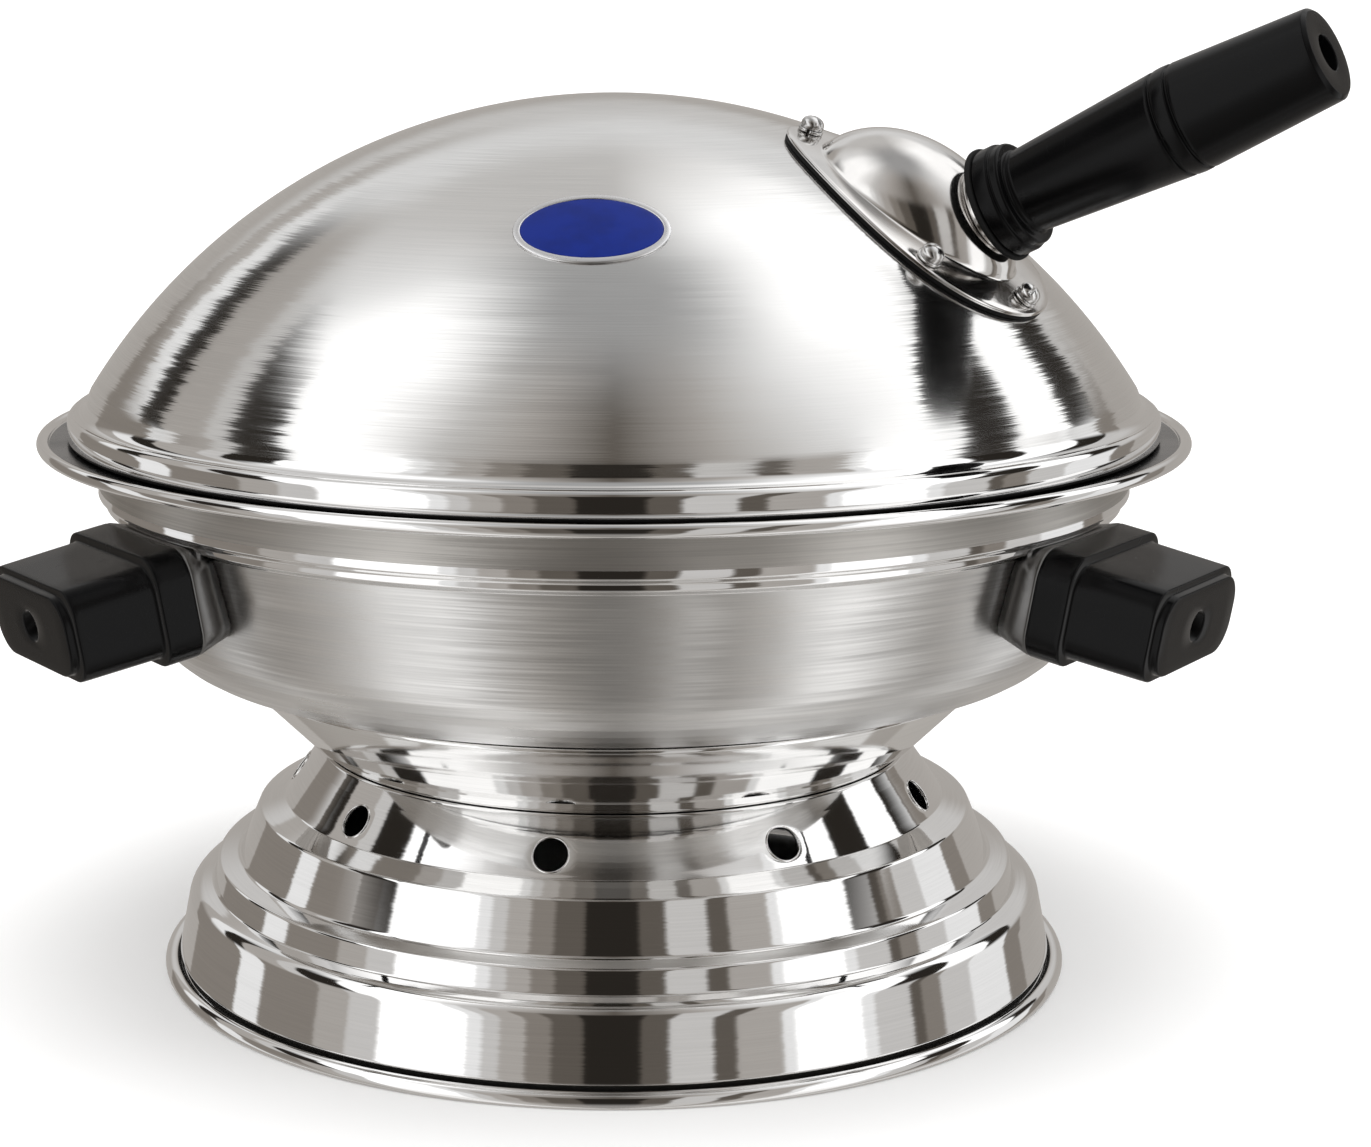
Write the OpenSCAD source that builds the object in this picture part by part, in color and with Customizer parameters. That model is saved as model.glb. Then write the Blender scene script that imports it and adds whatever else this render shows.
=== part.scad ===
// Gas tandoor: a spun steel base stand, a bowl that nests in its neck and a domed lid with a turned handle.
// Millimetres, +Z up. The origin is on the floor, on the axis of the base. The front faces -Y.

/* [Sheet and clearances] */
// Thickness of the spun steel sheet
sheet_t = 1; // [0.8:0.1:1.3]
// Gap between pieces that lift apart
lift_gap = 0.3; // [0.2:0.05:0.5]
// Gap between fixed round pieces that touch
fit_gap = 0.1; // [0.05:0.05:0.2]

/* [Base stand] */
// Radius of the skirt at the floor
skirt_r = 129.6; // [120:0.1:150]
// Height of the skirt
skirt_h = 24.6; // [18:0.1:34]
// How far the skirt leans in over its height
skirt_lean = 4.4; // [2:0.1:8]
// Width of the ledge above the skirt
low_ledge_w = 6.4; // [5:0.1:10]
// Rise of the ledge above the skirt
low_ledge_rise = 1.4; // [0.6:0.1:2.5]
// Height of the short riser
riser_h = 6.6; // [5:0.1:12]
// How far the riser leans in
riser_lean = 1.7; // [0.5:0.1:3]
// Width of the ledge above the riser
mid_ledge_w = 6.3; // [5.5:0.1:10]
// Rise of the ledge above the riser
mid_ledge_rise = 0.8; // [0.4:0.1:2]
// Height of the tall step
step_h = 14.2; // [10:0.1:22]
// How far the tall step leans in
step_lean = 6; // [3:0.1:9]
// Width of the ledge under the neck
top_ledge_w = 9; // [7:0.1:14]
// Rise of the ledge under the neck
top_ledge_rise = 3; // [1:0.1:4]
// Height of the neck that holds the vents
neck_h = 11.3; // [11:0.1:18]
// How far the neck leans in
neck_lean = 6.4; // [4:0.1:9]
// Height of the sloped lip on the neck
lip_h = 3.4; // [2.5:0.1:5]
// Width of the sloped lip on the neck
lip_w = 2.8; // [2:0.1:4]
// Width of the flat seat on top of the lip
lip_seat_w = 2.4; // [2.2:0.1:4]
// Depth of the flange turned down inside the lip
lip_turn_h = 4.8; // [3:0.1:6]
// Radius of the rolled foot bead
foot_bead_r = 2.4; // [2:0.1:3]
// Height of the flat trued on the foot bead
foot_flat_h = 0.4; // [0.2:0.1:0.6]
// Number of round vents in the neck
vent_count = 9; // [6:1:12]
// Diameter of a vent
vent_d = 9.5; // [6:0.1:10]
// Azimuth of the first vent from the front
vent_start = -10.5; // [-40:0.5:40]

/* [Bowl and collar] */
// Height of the collar between the base and the bowl's floor
collar_h = 25.5; // [18:0.1:36]
// Depth of the collar's spigot inside the neck
spigot_h = 7; // [5:0.1:10]
// Width of the slope between the bowl's flat floor and the wall's lower corner
floor_inset = 24; // [18:0.1:27]
// Width of the collar's flange under the floor
collar_flange_w = 9; // [6:0.1:14]
// Radius of the flame opening in the floor
flame_r = 48; // [38:0.1:54]
// Height of the turned-up lip round the flame opening
flame_lip_h = 6; // [4:0.1:8]
// Depth of the bowl from its floor to the lid channel
bowl_depth = 65.4; // [62:0.1:80]
// Radius of the band under the lid channel
mouth_r = 148; // [144:0.1:156]
// Height of that band below the lid channel
band_h = 12.4; // [10:0.1:15]
// Height of the creased step between the band and the wall
crease_h = 5.4; // [4:0.1:8]
// Inset of the wall's top below the band
wall_inset = 4; // [3:0.1:6]
// Inset of the wall's lower corner below the wall's top
wall_lean = 11; // [8:0.1:14]
// Height of the wall's lower corner over the floor
corner_rise = 4; // [3:0.1:6]
// Radius of the round between the wall and the floor
corner_round = 26; // [15:0.5:28]
// Width of the lid channel, out to the rolled rim
channel_w = 15.2; // [13:0.1:18]
// Radius of the rolled rim
rim_bead_r = 1.8; // [1.5:0.1:2.4]

/* [Side handles] */
// Azimuth of each side handle from the front
side_az = 56.4; // [45:0.1:80]
// Height of the side handles below the lid channel
side_drop = 29.8; // [29:0.1:32]
// Droop of the side handles below level
side_droop = 10; // [7:0.1:13]
// Depth of the side bracket off the wall
side_bracket_depth = 6.6; // [6.4:0.1:12]
// Width of the grip's base block
block_w = 56; // [50:0.1:60]
// Height of the grip's base block
block_h = 30; // [24:0.1:31]
// Thickness of the grip's base block
block_t = 9.8; // [7:0.1:12]
// Flare of the bracket beyond the block at the wall, each side
bracket_flare = 0.8; // [0.5:0.1:1.5]
// Length of the grip beyond its block
grip_len = 25.2; // [20:0.1:34]
// Step from the block in to the grip, each side
grip_step = 2.2; // [1.5:0.1:3]
// Step from the grip in to its end lip, each side
end_step = 2; // [1:0.1:3]
// Length of the end lip
end_lip_h = 2.4; // [1.5:0.1:4]
// Corner radius of the block
block_round = 8; // [6:0.1:9]
// Diameter of the screw hole in the grip's end
side_hole_d = 8.4; // [8:0.1:10]
// Depth of the screw hole in the grip's end
side_hole_h = 12; // [8:0.1:18]
// Diameter of the side grip screws
side_screw_d = 5; // [4:0.1:5.5]

/* [Flame deflector] */
// Radius of the deflector
deflector_r = 78; // [70:0.1:82]
// Width of its flat brim
brim_w = 16; // [14:0.1:18]
// Height of its crown over the brim
crown_h = 5; // [3:0.1:6]
// Height of the brim over the bowl's floor
deflector_lift = 10; // [8.5:0.1:12]
// Number of legs
leg_count = 3; // [3:1:5]
// Width of a leg
leg_w = 12; // [9:0.1:16]
// Thickness of a leg
leg_t = 1.5; // [1:0.1:2]
// Length of a leg's foot and tab
leg_tab = 13; // [11:0.1:14]
// Diameter of a rivet's shank
rivet_d = 3; // [2.5:0.1:4]

/* [Wire grill] */
// Distance from the wall's lower corner in to the rim wire's centre line
grill_inset = 11; // [9:0.1:17]
// Diameter of the rim, cross and foot wires
rim_wire_d = 4; // [3:0.1:5]
// Diameter of the bars
bar_d = 2.6; // [2:0.1:3.5]
// Number of bars
bar_count = 15; // [9:2:21]
// Distance from the rim wire's centre line in to the outermost bar
bar_inset = 17; // [12:0.1:24]
// Height of the rim wire's centre line over the bowl's floor
grill_stand = 21; // [20:0.1:23]
// Offset of each cross wire from the middle
cross_offset = 52; // [30:0.1:70]
// Number of feet
foot_count = 3; // [3:1:4]
// How far the feet lean in from the rim
foot_lean = 16; // [13:0.1:19]

/* [Lid] */
// Outer radius of the dome's sphere
dome_r = 177.2; // [172:0.1:190]
// Radius of the bead's outer face beyond the bowl's band
bead_out = 8.3; // [7:0.1:10]
// Height of the bead
bead_h = 8; // [6.5:0.1:10]
// Width of the flat on top of the bead
bead_top_w = 3.2; // [3.1:0.1:5]
// Height of the dome's foot over the bead
dome_foot_h = 5.5; // [4:0.1:8]
// Width of the bead's turned-in edge
bead_turn_w = 4.6; // [3:0.1:6]
// Polar angle of the badge plate's middle
badge_polar = 33.8; // [20:0.1:45]
// Azimuth of the badge plate from the front
badge_az = -3.3; // [-30:0.1:20]
// Width of the badge plate
badge_w = 40.5; // [30:0.1:50]
// Height of the badge plate
badge_h = 27.5; // [20:0.1:34]
// Thickness of the badge plate
badge_t = 0.6; // [0.4:0.1:1]

/* [Lid handle] */
// Azimuth of the handle from the front
handle_az = 58.4; // [40:0.1:90]
// Polar angle of the bracket's middle
bracket_polar = 33; // [30:0.1:36]
// Elevation of the handle's axis
handle_elev = 25.1; // [20:0.1:32]
// Width of the plate beyond the bulge at its ends
plate_end_w = 10.6; // [9:0.1:14]
// Width of the plate beyond the bulge at its sides
plate_side_w = 6.3; // [5.5:0.1:9]
// How much wider the plate is towards its lower end
plate_skew = 0.24; // [0.1:0.01:0.3]
// Thickness of the gasket under the plate
gasket_t = 1.2; // [0.8:0.1:1.6]
// Half length of the bracket's bulge
bulge_len = 33; // [30:0.1:34]
// Radius of the bulge across its length
bulge_r = 24.5; // [23:0.1:25]
// How far the bulge's axis lies below the dome
bulge_sink = 7.2; // [6.5:0.1:8]
// Height of the handle's seat over the dome
seat_height = 12.1; // [11:0.1:13]
// Polar angle of the seat's middle
seat_polar = 38.1; // [37:0.1:39]
// Distance from the plate's edge to the end screws
end_screw_in = 5.5; // [5:0.1:7]
// Place of the side screws along the plate
side_screw_u = 19; // [15:0.1:22]
// Distance from the plate's edge to the side screws
side_screw_in = 5; // [4.8:0.1:5.2]
// Diameter of the bracket screws
bracket_screw_d = 4; // [3:0.1:4.5]
// Diameter of the ferrule
ferrule_d = 25; // [22:0.1:28]
// Height of the ferrule
ferrule_h = 2.6; // [2:0.1:4]
// Thickness of the black washer
seal_t = 1.6; // [1:0.1:2.5]
// Diameter of the grip's flange
flange_d = 30; // [28:0.1:34]
// Thickness of the grip's flange
flange_h = 5; // [4:0.1:7]
// Diameter of the step behind the flange
collar_d = 28.4; // [26:0.1:28.6]
// Height of that step
collar_step_h = 2.6; // [2:0.1:4]
// Diameter of the grip's neck
neck_d = 22.6; // [20:0.1:24]
// Diameter of the grip at its grooves
swell_d = 29; // [27:0.1:31]
// Diameter of the grip's end
tip_d = 24.6; // [22:0.1:27]
// Length of the grip
lid_grip_len = 96; // [85:0.1:110]
// Distance from the flange to the first groove
groove_from = 52.8; // [48:0.1:58]
// Distance between the two grooves
groove_pitch = 5; // [4:0.1:7]
// Width of a groove
groove_w = 1; // [0.8:0.1:1.5]
// Depth of a groove
groove_h = 0.7; // [0.4:0.1:1]
// Diameter of the hole in the grip's end
tip_hole_d = 9.6; // [9.4:0.1:11]
// Depth of the hole in the grip's end
tip_hole_h = 13; // [9:0.1:20]
// Diameter of the bolt through the grip
lid_bolt_d = 6; // [5:0.1:6.5]

/* [Hidden] */
$fn = 96;
ARC_STEPS = 7;
DOME_STEPS = 48;
OVAL_STEPS = 56;
FLARE_FACETS = 32;
ROUND_SHARE = 0.9;
FOOT_GUESS = 54;
FOOT_STEPS = 24;
CUT = 1;
FAR = 60;
STEEL = [0.80, 0.80, 0.81];
BRIGHT_STEEL = [0.88, 0.88, 0.89];
BLACK = [0.06, 0.06, 0.07];
PLATE_BLUE = [0.10, 0.16, 0.40];
DARK_STEEL = [0.45, 0.45, 0.46];

// Corner radii of the pressed steps, on the outer face
tight_round = sheet_t + 0.5;
step_round = sheet_t + 0.8;
soft_round = sheet_t + 1.6;

// Radii and heights up the base stand
skirt_top_r = skirt_r - skirt_lean;
riser_r = skirt_top_r - low_ledge_w;
riser_z = skirt_h + low_ledge_rise;
riser_top_r = riser_r - riser_lean;
riser_top_z = riser_z + riser_h;
step_r = riser_top_r - mid_ledge_w;
step_z = riser_top_z + mid_ledge_rise;
step_top_r = step_r - step_lean;
step_top_z = step_z + step_h;
neck_r = step_top_r - top_ledge_w;
neck_z = step_top_z + top_ledge_rise;
neck_top_r = neck_r - neck_lean;
neck_top_z = neck_z + neck_h;
lip_r = neck_top_r - lip_w;
base_h = neck_top_z + lip_h;
throat_r = lip_r - lip_seat_w;
foot_bead_z = foot_bead_r - foot_flat_h;
foot_bead_centre = skirt_r + foot_bead_r - sheet_t;

// Radii and heights of the bowl and its collar
seat_z = base_h + lift_gap;
spigot_r = throat_r - lift_gap;
collar_foot_r = lip_r + lip_w / 2;
floor_z = seat_z + collar_h;
floor_top_z = floor_z + sheet_t;
channel_z = floor_z + bowl_depth;
wall_top_r = mouth_r - wall_inset;
wall_top_z = channel_z - band_h - crease_h;
corner_r = wall_top_r - wall_lean;
corner_z = floor_z + corner_rise;
floor_r = corner_r - floor_inset;
rim_r = mouth_r + channel_w;
rim_z = channel_z + rim_bead_r / 2;
side_z = channel_z - side_drop;
wall_at_side = corner_r + wall_lean * (side_z - corner_z) / (wall_top_z - corner_z);
bracket_face = wall_at_side + side_bracket_depth;
grip_face = bracket_face + block_t;
grip_end = grip_face + grip_len;
grill_r = corner_r - grill_inset;
// The round at the collar's top takes no more than its share of the flange's thickness
collar_turn = atan2(floor_r - collar_foot_r, collar_h - sheet_t);
collar_round = min(step_round, ROUND_SHARE * sheet_t / tan(collar_turn / 2));

// Places of the lid
lid_z = channel_z + sheet_t + lift_gap;
bead_r = mouth_r + bead_out;
bead_top_z = lid_z + bead_h;
dome_foot_z = bead_top_z + dome_foot_h;
// The dome's foot is where its tangent meets the inner edge of the bead's flat top
flat_in_r = bead_r - bead_top_w;
dome_polar = dome_foot_angle(FOOT_GUESS, FOOT_STEPS);
dome_foot_r = dome_r * sin(dome_polar);
dome_z = dome_foot_z - dome_r * cos(dome_polar);

// Places of the lid handle, in the meridian plane through its axis
seat_reach = dome_r + seat_height;
seat_x = seat_reach * sin(seat_polar);
seat_over = seat_reach * cos(seat_polar);
plate_top = dome_r + gasket_t + sheet_t;
plate_len = bulge_len + plate_end_w;
plate_wid = bulge_r + plate_side_w;
ferrule_top = ferrule_h;
seal_top = ferrule_top + seal_t;
hex_across = 1.6;
nut_high = 0.8;

// Polar angle whose tangent, run down by dome_foot_h, ends at flat_in_r, found by repeated steps
function dome_foot_angle(guess, steps) =
    steps == 0 ? guess
    : dome_foot_angle(asin((flat_in_r - dome_foot_h / tan(guess)) / dome_r), steps - 1);

function unit(v) = v / norm(v);
function left_of(v) = [-v[1], v[0]];
function turned(v, a) = [v[0] * cos(a) - v[1] * sin(a), v[0] * sin(a) + v[1] * cos(a)];
function turn_between(u, w) = atan2(u[0] * w[1] - u[1] * w[0], u * w);
function flat_point(p) = [p[0], p[1]];

// Arc of radius r that rounds the corner b between a and c
function corner_arc(a, b, c, r) =
    let (
        u = unit(b - a),
        w = unit(c - b),
        turn = turn_between(u, w),
        side = sign(turn),
        centre = b - u * r * tan(abs(turn) / 2) + left_of(u) * side * r
    )
    [for (k = [0 : ARC_STEPS]) centre - side * r * turned(left_of(u), turn * k / ARC_STEPS)];

// Path of [radius, height, rounding] points with its corners rounded
function rounded_path(path) = [
    for (i = [0 : len(path) - 1])
        each len(path[i]) < 3
            ? [flat_point(path[i])]
            : corner_arc(flat_point(path[i - 1]), flat_point(path[i]), flat_point(path[i + 1]), path[i][2])
];

// Direction of the sheet's inner side at point i, longer where the path turns
function sheet_side(path, i, end_dir) =
    let (
        last = len(path) - 1,
        after = i < last ? unit(path[i + 1] - path[i]) : end_dir == undef ? unit(path[i] - path[i - 1]) : end_dir,
        before = i == last && end_dir != undef ? end_dir : i > 0 ? unit(path[i] - path[i - 1]) : after,
        total = left_of(before) + left_of(after)
    )
    total / (1 + left_of(before) * left_of(after));

// Closed outline of a sheet whose outer face follows the path, with its thickness on the left
function sheet_outline(path, t, end_dir) = concat(
    path,
    [for (i = [len(path) - 1 : -1 : 0]) path[i] + t * sheet_side(path, i, end_dir)]
);

// Oval of half length a and half width b, wider towards its +X end by the skew
function oval(a, b, skew = 0) = [
    for (i = [0 : OVAL_STEPS - 1])
        let (t = 360 * i / OVAL_STEPS)
        [a * cos(t), b * sin(t) * (1 + skew * cos(t))]
];

// Half width of the bracket's plate at the place u along it
function plate_half_width(u) =
    let (c = u / plate_len)
    plate_wid * sqrt(1 - c * c) * (1 + plate_skew * c);

base_path = rounded_path([
    [skirt_r, foot_bead_z],
    [skirt_top_r, skirt_h, soft_round],
    [riser_r, riser_z, step_round],
    [riser_top_r, riser_top_z, step_round],
    [step_r, step_z, step_round],
    [step_top_r, step_top_z, soft_round],
    [neck_r, neck_z, soft_round],
    [neck_top_r, neck_top_z, step_round],
    [lip_r, base_h, sheet_t + 0.1],
    [throat_r, base_h, sheet_t + 0.1],
    [throat_r, base_h - lip_turn_h]
]);

bowl_path = rounded_path([
    [flame_r, floor_z + flame_lip_h],
    [flame_r, floor_z, step_round],
    [floor_r, floor_z, step_round],
    [corner_r, corner_z, corner_round],
    [wall_top_r, wall_top_z, step_round],
    [(wall_top_r + mouth_r) / 2, wall_top_z + crease_h * 0.4, tight_round],
    [mouth_r, channel_z - band_h, tight_round],
    [mouth_r, channel_z, tight_round],
    [rim_r - rim_bead_r / 2, channel_z]
]);

collar_path = rounded_path([
    [spigot_r, seat_z - spigot_h],
    [spigot_r, seat_z, sheet_t],
    [collar_foot_r, seat_z, sheet_t / 2],
    [floor_r, floor_z - sheet_t, collar_round],
    [floor_r, floor_z]
]);

lid_path = concat(
    rounded_path([
        [bead_r - bead_turn_w, lid_z],
        [bead_r, lid_z, tight_round],
        [bead_r, bead_top_z, step_round],
        [flat_in_r, bead_top_z, step_round],
        [dome_foot_r, dome_foot_z]
    ]),
    [for (k = [1 : DOME_STEPS])
        let (a = dome_polar * (1 - k / DOME_STEPS))
        [dome_r * sin(a), dome_z + dome_r * cos(a)]]
);

// Turns its child so that local +X points outward at an azimuth from the front
module outward(az) {
    rotate([0, 0, az - 90])
        children();
}

// Stands its child on the dome's sphere: local +Z is the sphere's normal, +X runs down the slope
module on_dome(az, polar, across = 0) {
    translate([0, 0, dome_z])
        outward(az)
            rotate([0, polar, 0])
                rotate([-across, 0, 0])
                    children();
}

// Lays local +Z along the lid handle's axis, from its seat on the bracket
module on_handle_axis() {
    translate([0, 0, dome_z])
        outward(handle_az)
            translate([seat_x, 0, seat_over])
                rotate([0, 90 - handle_elev, 0])
                    children();
}

// Stands its child at each of the bracket's screws, from the sphere's centre
module at_bracket_screws() {
    end_u = plate_len - end_screw_in;
    for (u = [-end_u, end_u])
        on_dome(handle_az, bracket_polar + asin(u / dome_r))
            children();
    side_v = plate_half_width(side_screw_u) - side_screw_in;
    for (v = [-side_v, side_v])
        on_dome(handle_az, bracket_polar + asin(side_screw_u / dome_r), asin(v / dome_r))
            children();
}

// Lays local +Z outward along a side handle's axis, from the base's axis
module on_side_axis(az) {
    outward(az)
        translate([bracket_face, 0, side_z])
            rotate([0, 90 + side_droop, 0])
                translate([0, 0, -bracket_face])
                    children();
}

// Shell of the dome's sphere between two heights over its outer face
module dome_shell(low, high) {
    translate([0, 0, dome_z])
        difference() {
            sphere(dome_r + high);
            sphere(dome_r + low);
        }
}

// Plan of a rounded block, width across and height along local X
module rounded_block(w, h, r, facets = 96) {
    for (x = [-1, 1], y = [-1, 1])
        translate([x * (h / 2 - r), y * (w / 2 - r)])
            circle(r, $fn = facets);
    square([h, w - 2 * r], center = true);
    square([h - 2 * r, w], center = true);
}

// Hex nut whose upper face is at local z = 0
module hex_nut(d) {
    translate([0, 0, -nut_high * d])
        difference() {
            cylinder(d = hex_across * d / cos(30), h = nut_high * d, $fn = 6);
            translate([0, 0, -CUT])
                cylinder(d = d + 2 * fit_gap, h = nut_high * d + 2 * CUT);
        }
}

// Slotted screw whose head stands on local z = 0, with its shank below
module slotted_screw(d, head_d, head_h, len) {
    slot_w = d / 5;
    difference() {
        union() {
            cylinder(d = head_d, h = head_h);
            translate([0, 0, -len])
                cylinder(d = d, h = len);
        }
        translate([-head_d, -slot_w / 2, head_h / 2])
            cube([2 * head_d, slot_w, head_h]);
    }
}

// Flat ring between two diameters
module ring(outer_d, inner_d, h) {
    difference() {
        cylinder(d = outer_d, h = h);
        translate([0, 0, -CUT])
            cylinder(d = inner_d, h = h + 2 * CUT);
    }
}

module base_stand() {
    vent_lean = atan2(neck_lean, neck_h);
    vent_z = neck_z + neck_h / 2;
    vent_r = (neck_r + neck_top_r) / 2;
    color(BRIGHT_STEEL)
        difference() {
            rotate_extrude()
                difference() {
                    union() {
                        polygon(sheet_outline(base_path, sheet_t));
                        translate([foot_bead_centre, foot_bead_z])
                            circle(foot_bead_r);
                    }
                    translate([0, -2 * foot_bead_r])
                        square([2 * skirt_r, 2 * foot_bead_r]);
                }
            for (i = [0 : vent_count - 1])
                outward(vent_start + i * 360 / vent_count)
                    translate([vent_r, 0, vent_z])
                        rotate([0, 90 - vent_lean, 0])
                            translate([0, 0, -3 * sheet_t])
                                cylinder(d = vent_d, h = 6 * sheet_t);
        }
}

module bowl() {
    color(STEEL)
        difference() {
            rotate_extrude()
                union() {
                    polygon(sheet_outline(bowl_path, sheet_t));
                    translate([rim_r, rim_z])
                        circle(rim_bead_r);
                }
            at_leg_rivets(leg_foot_r())
                translate([0, 0, floor_z - CUT])
                    cylinder(d = rivet_d + 2 * fit_gap, h = sheet_t + 2 * CUT);
        }
}

module bowl_collar() {
    flange_in_r = floor_r - collar_flange_w;
    color(BRIGHT_STEEL)
        rotate_extrude()
            union() {
                polygon(sheet_outline(collar_path, sheet_t));
                translate([flange_in_r, floor_z - sheet_t])
                    square([collar_flange_w, sheet_t]);
            }
}

// Pressed steel dish welded to the bowl's wall, with a flat face for the grip
module side_bracket(az) {
    foot_w = block_w + 2 * bracket_flare;
    foot_h = block_h + 2 * bracket_flare;
    depth = side_bracket_depth + corner_round;
    flare_at_depth = 1 + (foot_w / block_w - 1) * depth / side_bracket_depth;
    flare_h_at_depth = 1 + (foot_h / block_h - 1) * depth / side_bracket_depth;
    inner_w = block_w - 2 * sheet_t;
    inner_h = block_h - 2 * sheet_t;
    color(DARK_STEEL)
        difference() {
            on_side_axis(az)
                translate([0, 0, bracket_face])
                    mirror([0, 0, 1])
                        difference() {
                            linear_extrude(depth, scale = [flare_h_at_depth, flare_at_depth], slices = 1)
                                rounded_block(block_w, block_h, block_round, FLARE_FACETS);
                            translate([0, 0, sheet_t])
                                linear_extrude(depth, scale = [flare_h_at_depth, flare_at_depth], slices = 1)
                                    rounded_block(inner_w, inner_h, block_round - sheet_t, FLARE_FACETS);
                            translate([0, 0, -CUT])
                                cylinder(d = side_screw_d + 4 * fit_gap, h = sheet_t + 2 * CUT);
                        }
            rotate_extrude()
                polygon(concat(
                    [[0, floor_z - FAR]],
                    [for (p = bowl_path) if (p[0] <= mouth_r + CUT && p[0] >= floor_r) [p[0] + fit_gap, p[1]]],
                    [[0, channel_z]]
                ));
        }
}

// Moulded black grip: a base block, a slimmer grip and a stepped end
module side_grip(az) {
    grip_w = block_w - 2 * grip_step;
    grip_h = block_h - 2 * grip_step;
    color(BLACK)
        on_side_axis(az)
            difference() {
                union() {
                    translate([0, 0, bracket_face])
                        linear_extrude(block_t)
                            rounded_block(block_w, block_h, block_round);
                    translate([0, 0, bracket_face])
                        linear_extrude(block_t + grip_len - end_lip_h)
                            rounded_block(grip_w, grip_h, block_round - grip_step / 2);
                    translate([0, 0, bracket_face])
                        linear_extrude(block_t + grip_len)
                            rounded_block(grip_w - 2 * end_step, grip_h - 2 * end_step, block_round - grip_step);
                }
                translate([0, 0, bracket_face - CUT])
                    cylinder(d = side_screw_d + 4 * fit_gap, h = block_t + grip_len + 2 * CUT);
                translate([0, 0, grip_end - side_hole_h])
                    cylinder(d = side_hole_d, h = side_hole_h + CUT);
            }
}

module side_grip_screws() {
    head_d = side_hole_d - 6 * fit_gap;
    head_h = 0.6 * side_screw_d;
    reach = grip_end - side_hole_h - bracket_face + sheet_t + nut_high * side_screw_d + 2 * fit_gap;
    color(DARK_STEEL)
        for (az = [-side_az, side_az])
            on_side_axis(az)
                translate([0, 0, grip_end - side_hole_h])
                    slotted_screw(side_screw_d, head_d, head_h, reach);
}

module side_grip_nuts() {
    color(DARK_STEEL)
        for (az = [-side_az, side_az])
            on_side_axis(az)
                translate([0, 0, bracket_face - sheet_t])
                    hex_nut(side_screw_d);
}

function brim_z() = floor_top_z + deflector_lift;
function leg_bend_r() = deflector_r - leg_t;
function leg_top_r() = leg_bend_r() - leg_tab / 2;
function leg_foot_r() = leg_bend_r() + leg_t + leg_tab / 2;

// Stands its child at each leg, at a radius from the axis
module at_leg_rivets(r) {
    for (i = [0 : leg_count - 1])
        outward(i * 360 / leg_count)
            translate([r, 0, 0])
                children();
}

module flame_deflector() {
    brim_in_r = deflector_r - brim_w;
    crown_path = rounded_path([
        [deflector_r, brim_z() + sheet_t],
        [brim_in_r, brim_z() + sheet_t, step_round],
        [brim_in_r - 2 * crown_h, brim_z() + sheet_t + crown_h, soft_round],
        [0, brim_z() + sheet_t + crown_h + sheet_t]
    ]);
    color(STEEL)
        difference() {
            rotate_extrude()
                polygon(sheet_outline(crown_path, sheet_t, [-1, 0]));
            at_leg_rivets(leg_top_r())
                translate([0, 0, brim_z() - CUT])
                    cylinder(d = rivet_d + 2 * fit_gap, h = sheet_t + 2 * CUT);
        }
}

module deflector_legs() {
    tab_in_r = leg_bend_r() - leg_tab;
    leg_outline = [
        [tab_in_r, brim_z()],
        [tab_in_r, brim_z() - leg_t],
        [leg_bend_r(), brim_z() - leg_t],
        [leg_bend_r(), floor_top_z],
        [leg_bend_r() + leg_t + leg_tab, floor_top_z],
        [leg_bend_r() + leg_t + leg_tab, floor_top_z + leg_t],
        [leg_bend_r() + leg_t, floor_top_z + leg_t],
        [leg_bend_r() + leg_t, brim_z()]
    ];
    color(STEEL)
        difference() {
            at_leg_rivets(0)
                rotate([90, 0, 0])
                    linear_extrude(leg_w, center = true)
                        polygon(leg_outline);
            at_leg_rivets(leg_top_r())
                translate([0, 0, brim_z() - leg_t - CUT])
                    cylinder(d = rivet_d + 2 * fit_gap, h = leg_t + 2 * CUT);
            at_leg_rivets(leg_foot_r())
                translate([0, 0, floor_top_z - CUT])
                    cylinder(d = rivet_d + 2 * fit_gap, h = leg_t + 2 * CUT);
        }
}

// Rivet through a stack of sheets whose lower face is at local z = 0
module rivet(stack) {
    head_d = 2 * rivet_d;
    head_h = rivet_d / 3;
    cylinder(d = rivet_d, h = stack);
    translate([0, 0, stack])
        cylinder(d = head_d, h = head_h);
    translate([0, 0, -head_h])
        cylinder(d = head_d, h = head_h);
}

module deflector_rivets() {
    color(DARK_STEEL) {
        at_leg_rivets(leg_top_r())
            translate([0, 0, brim_z() - leg_t])
                rivet(leg_t + sheet_t);
        at_leg_rivets(leg_foot_r())
            translate([0, 0, floor_z])
                rivet(leg_t + sheet_t);
    }
}

function grill_z() = floor_top_z + lift_gap + grill_stand;

module grill_rim() {
    color(STEEL)
        translate([0, 0, grill_z()])
            rotate_extrude()
                translate([grill_r, 0])
                    circle(d = rim_wire_d);
}

// Parallel bars that lie on the rim wire, each cut to its chord
module grill_bars() {
    reach = grill_r - bar_inset;
    pitch = 2 * reach / (bar_count - 1);
    bar_z = grill_z() + (rim_wire_d + bar_d) / 2 + fit_gap;
    color(STEEL)
        for (i = [0 : bar_count - 1])
            let (x = i * pitch - reach, chord = 2 * sqrt(grill_r * grill_r - x * x))
            translate([x, 0, bar_z])
                rotate([90, 0, 0])
                    cylinder(d = bar_d, h = chord, center = true);
}

// Wires under the bars, welded between the sides of the rim wire
module grill_cross_wires() {
    inside_r = grill_r - rim_wire_d / 2;
    edge = cross_offset + rim_wire_d / 2;
    chord = 2 * sqrt(inside_r * inside_r - edge * edge) - 2 * fit_gap;
    color(STEEL)
        for (y = [-cross_offset, cross_offset])
            translate([0, y, grill_z()])
                rotate([0, 90, 0])
                    cylinder(d = rim_wire_d, h = chord, center = true);
}

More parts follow.
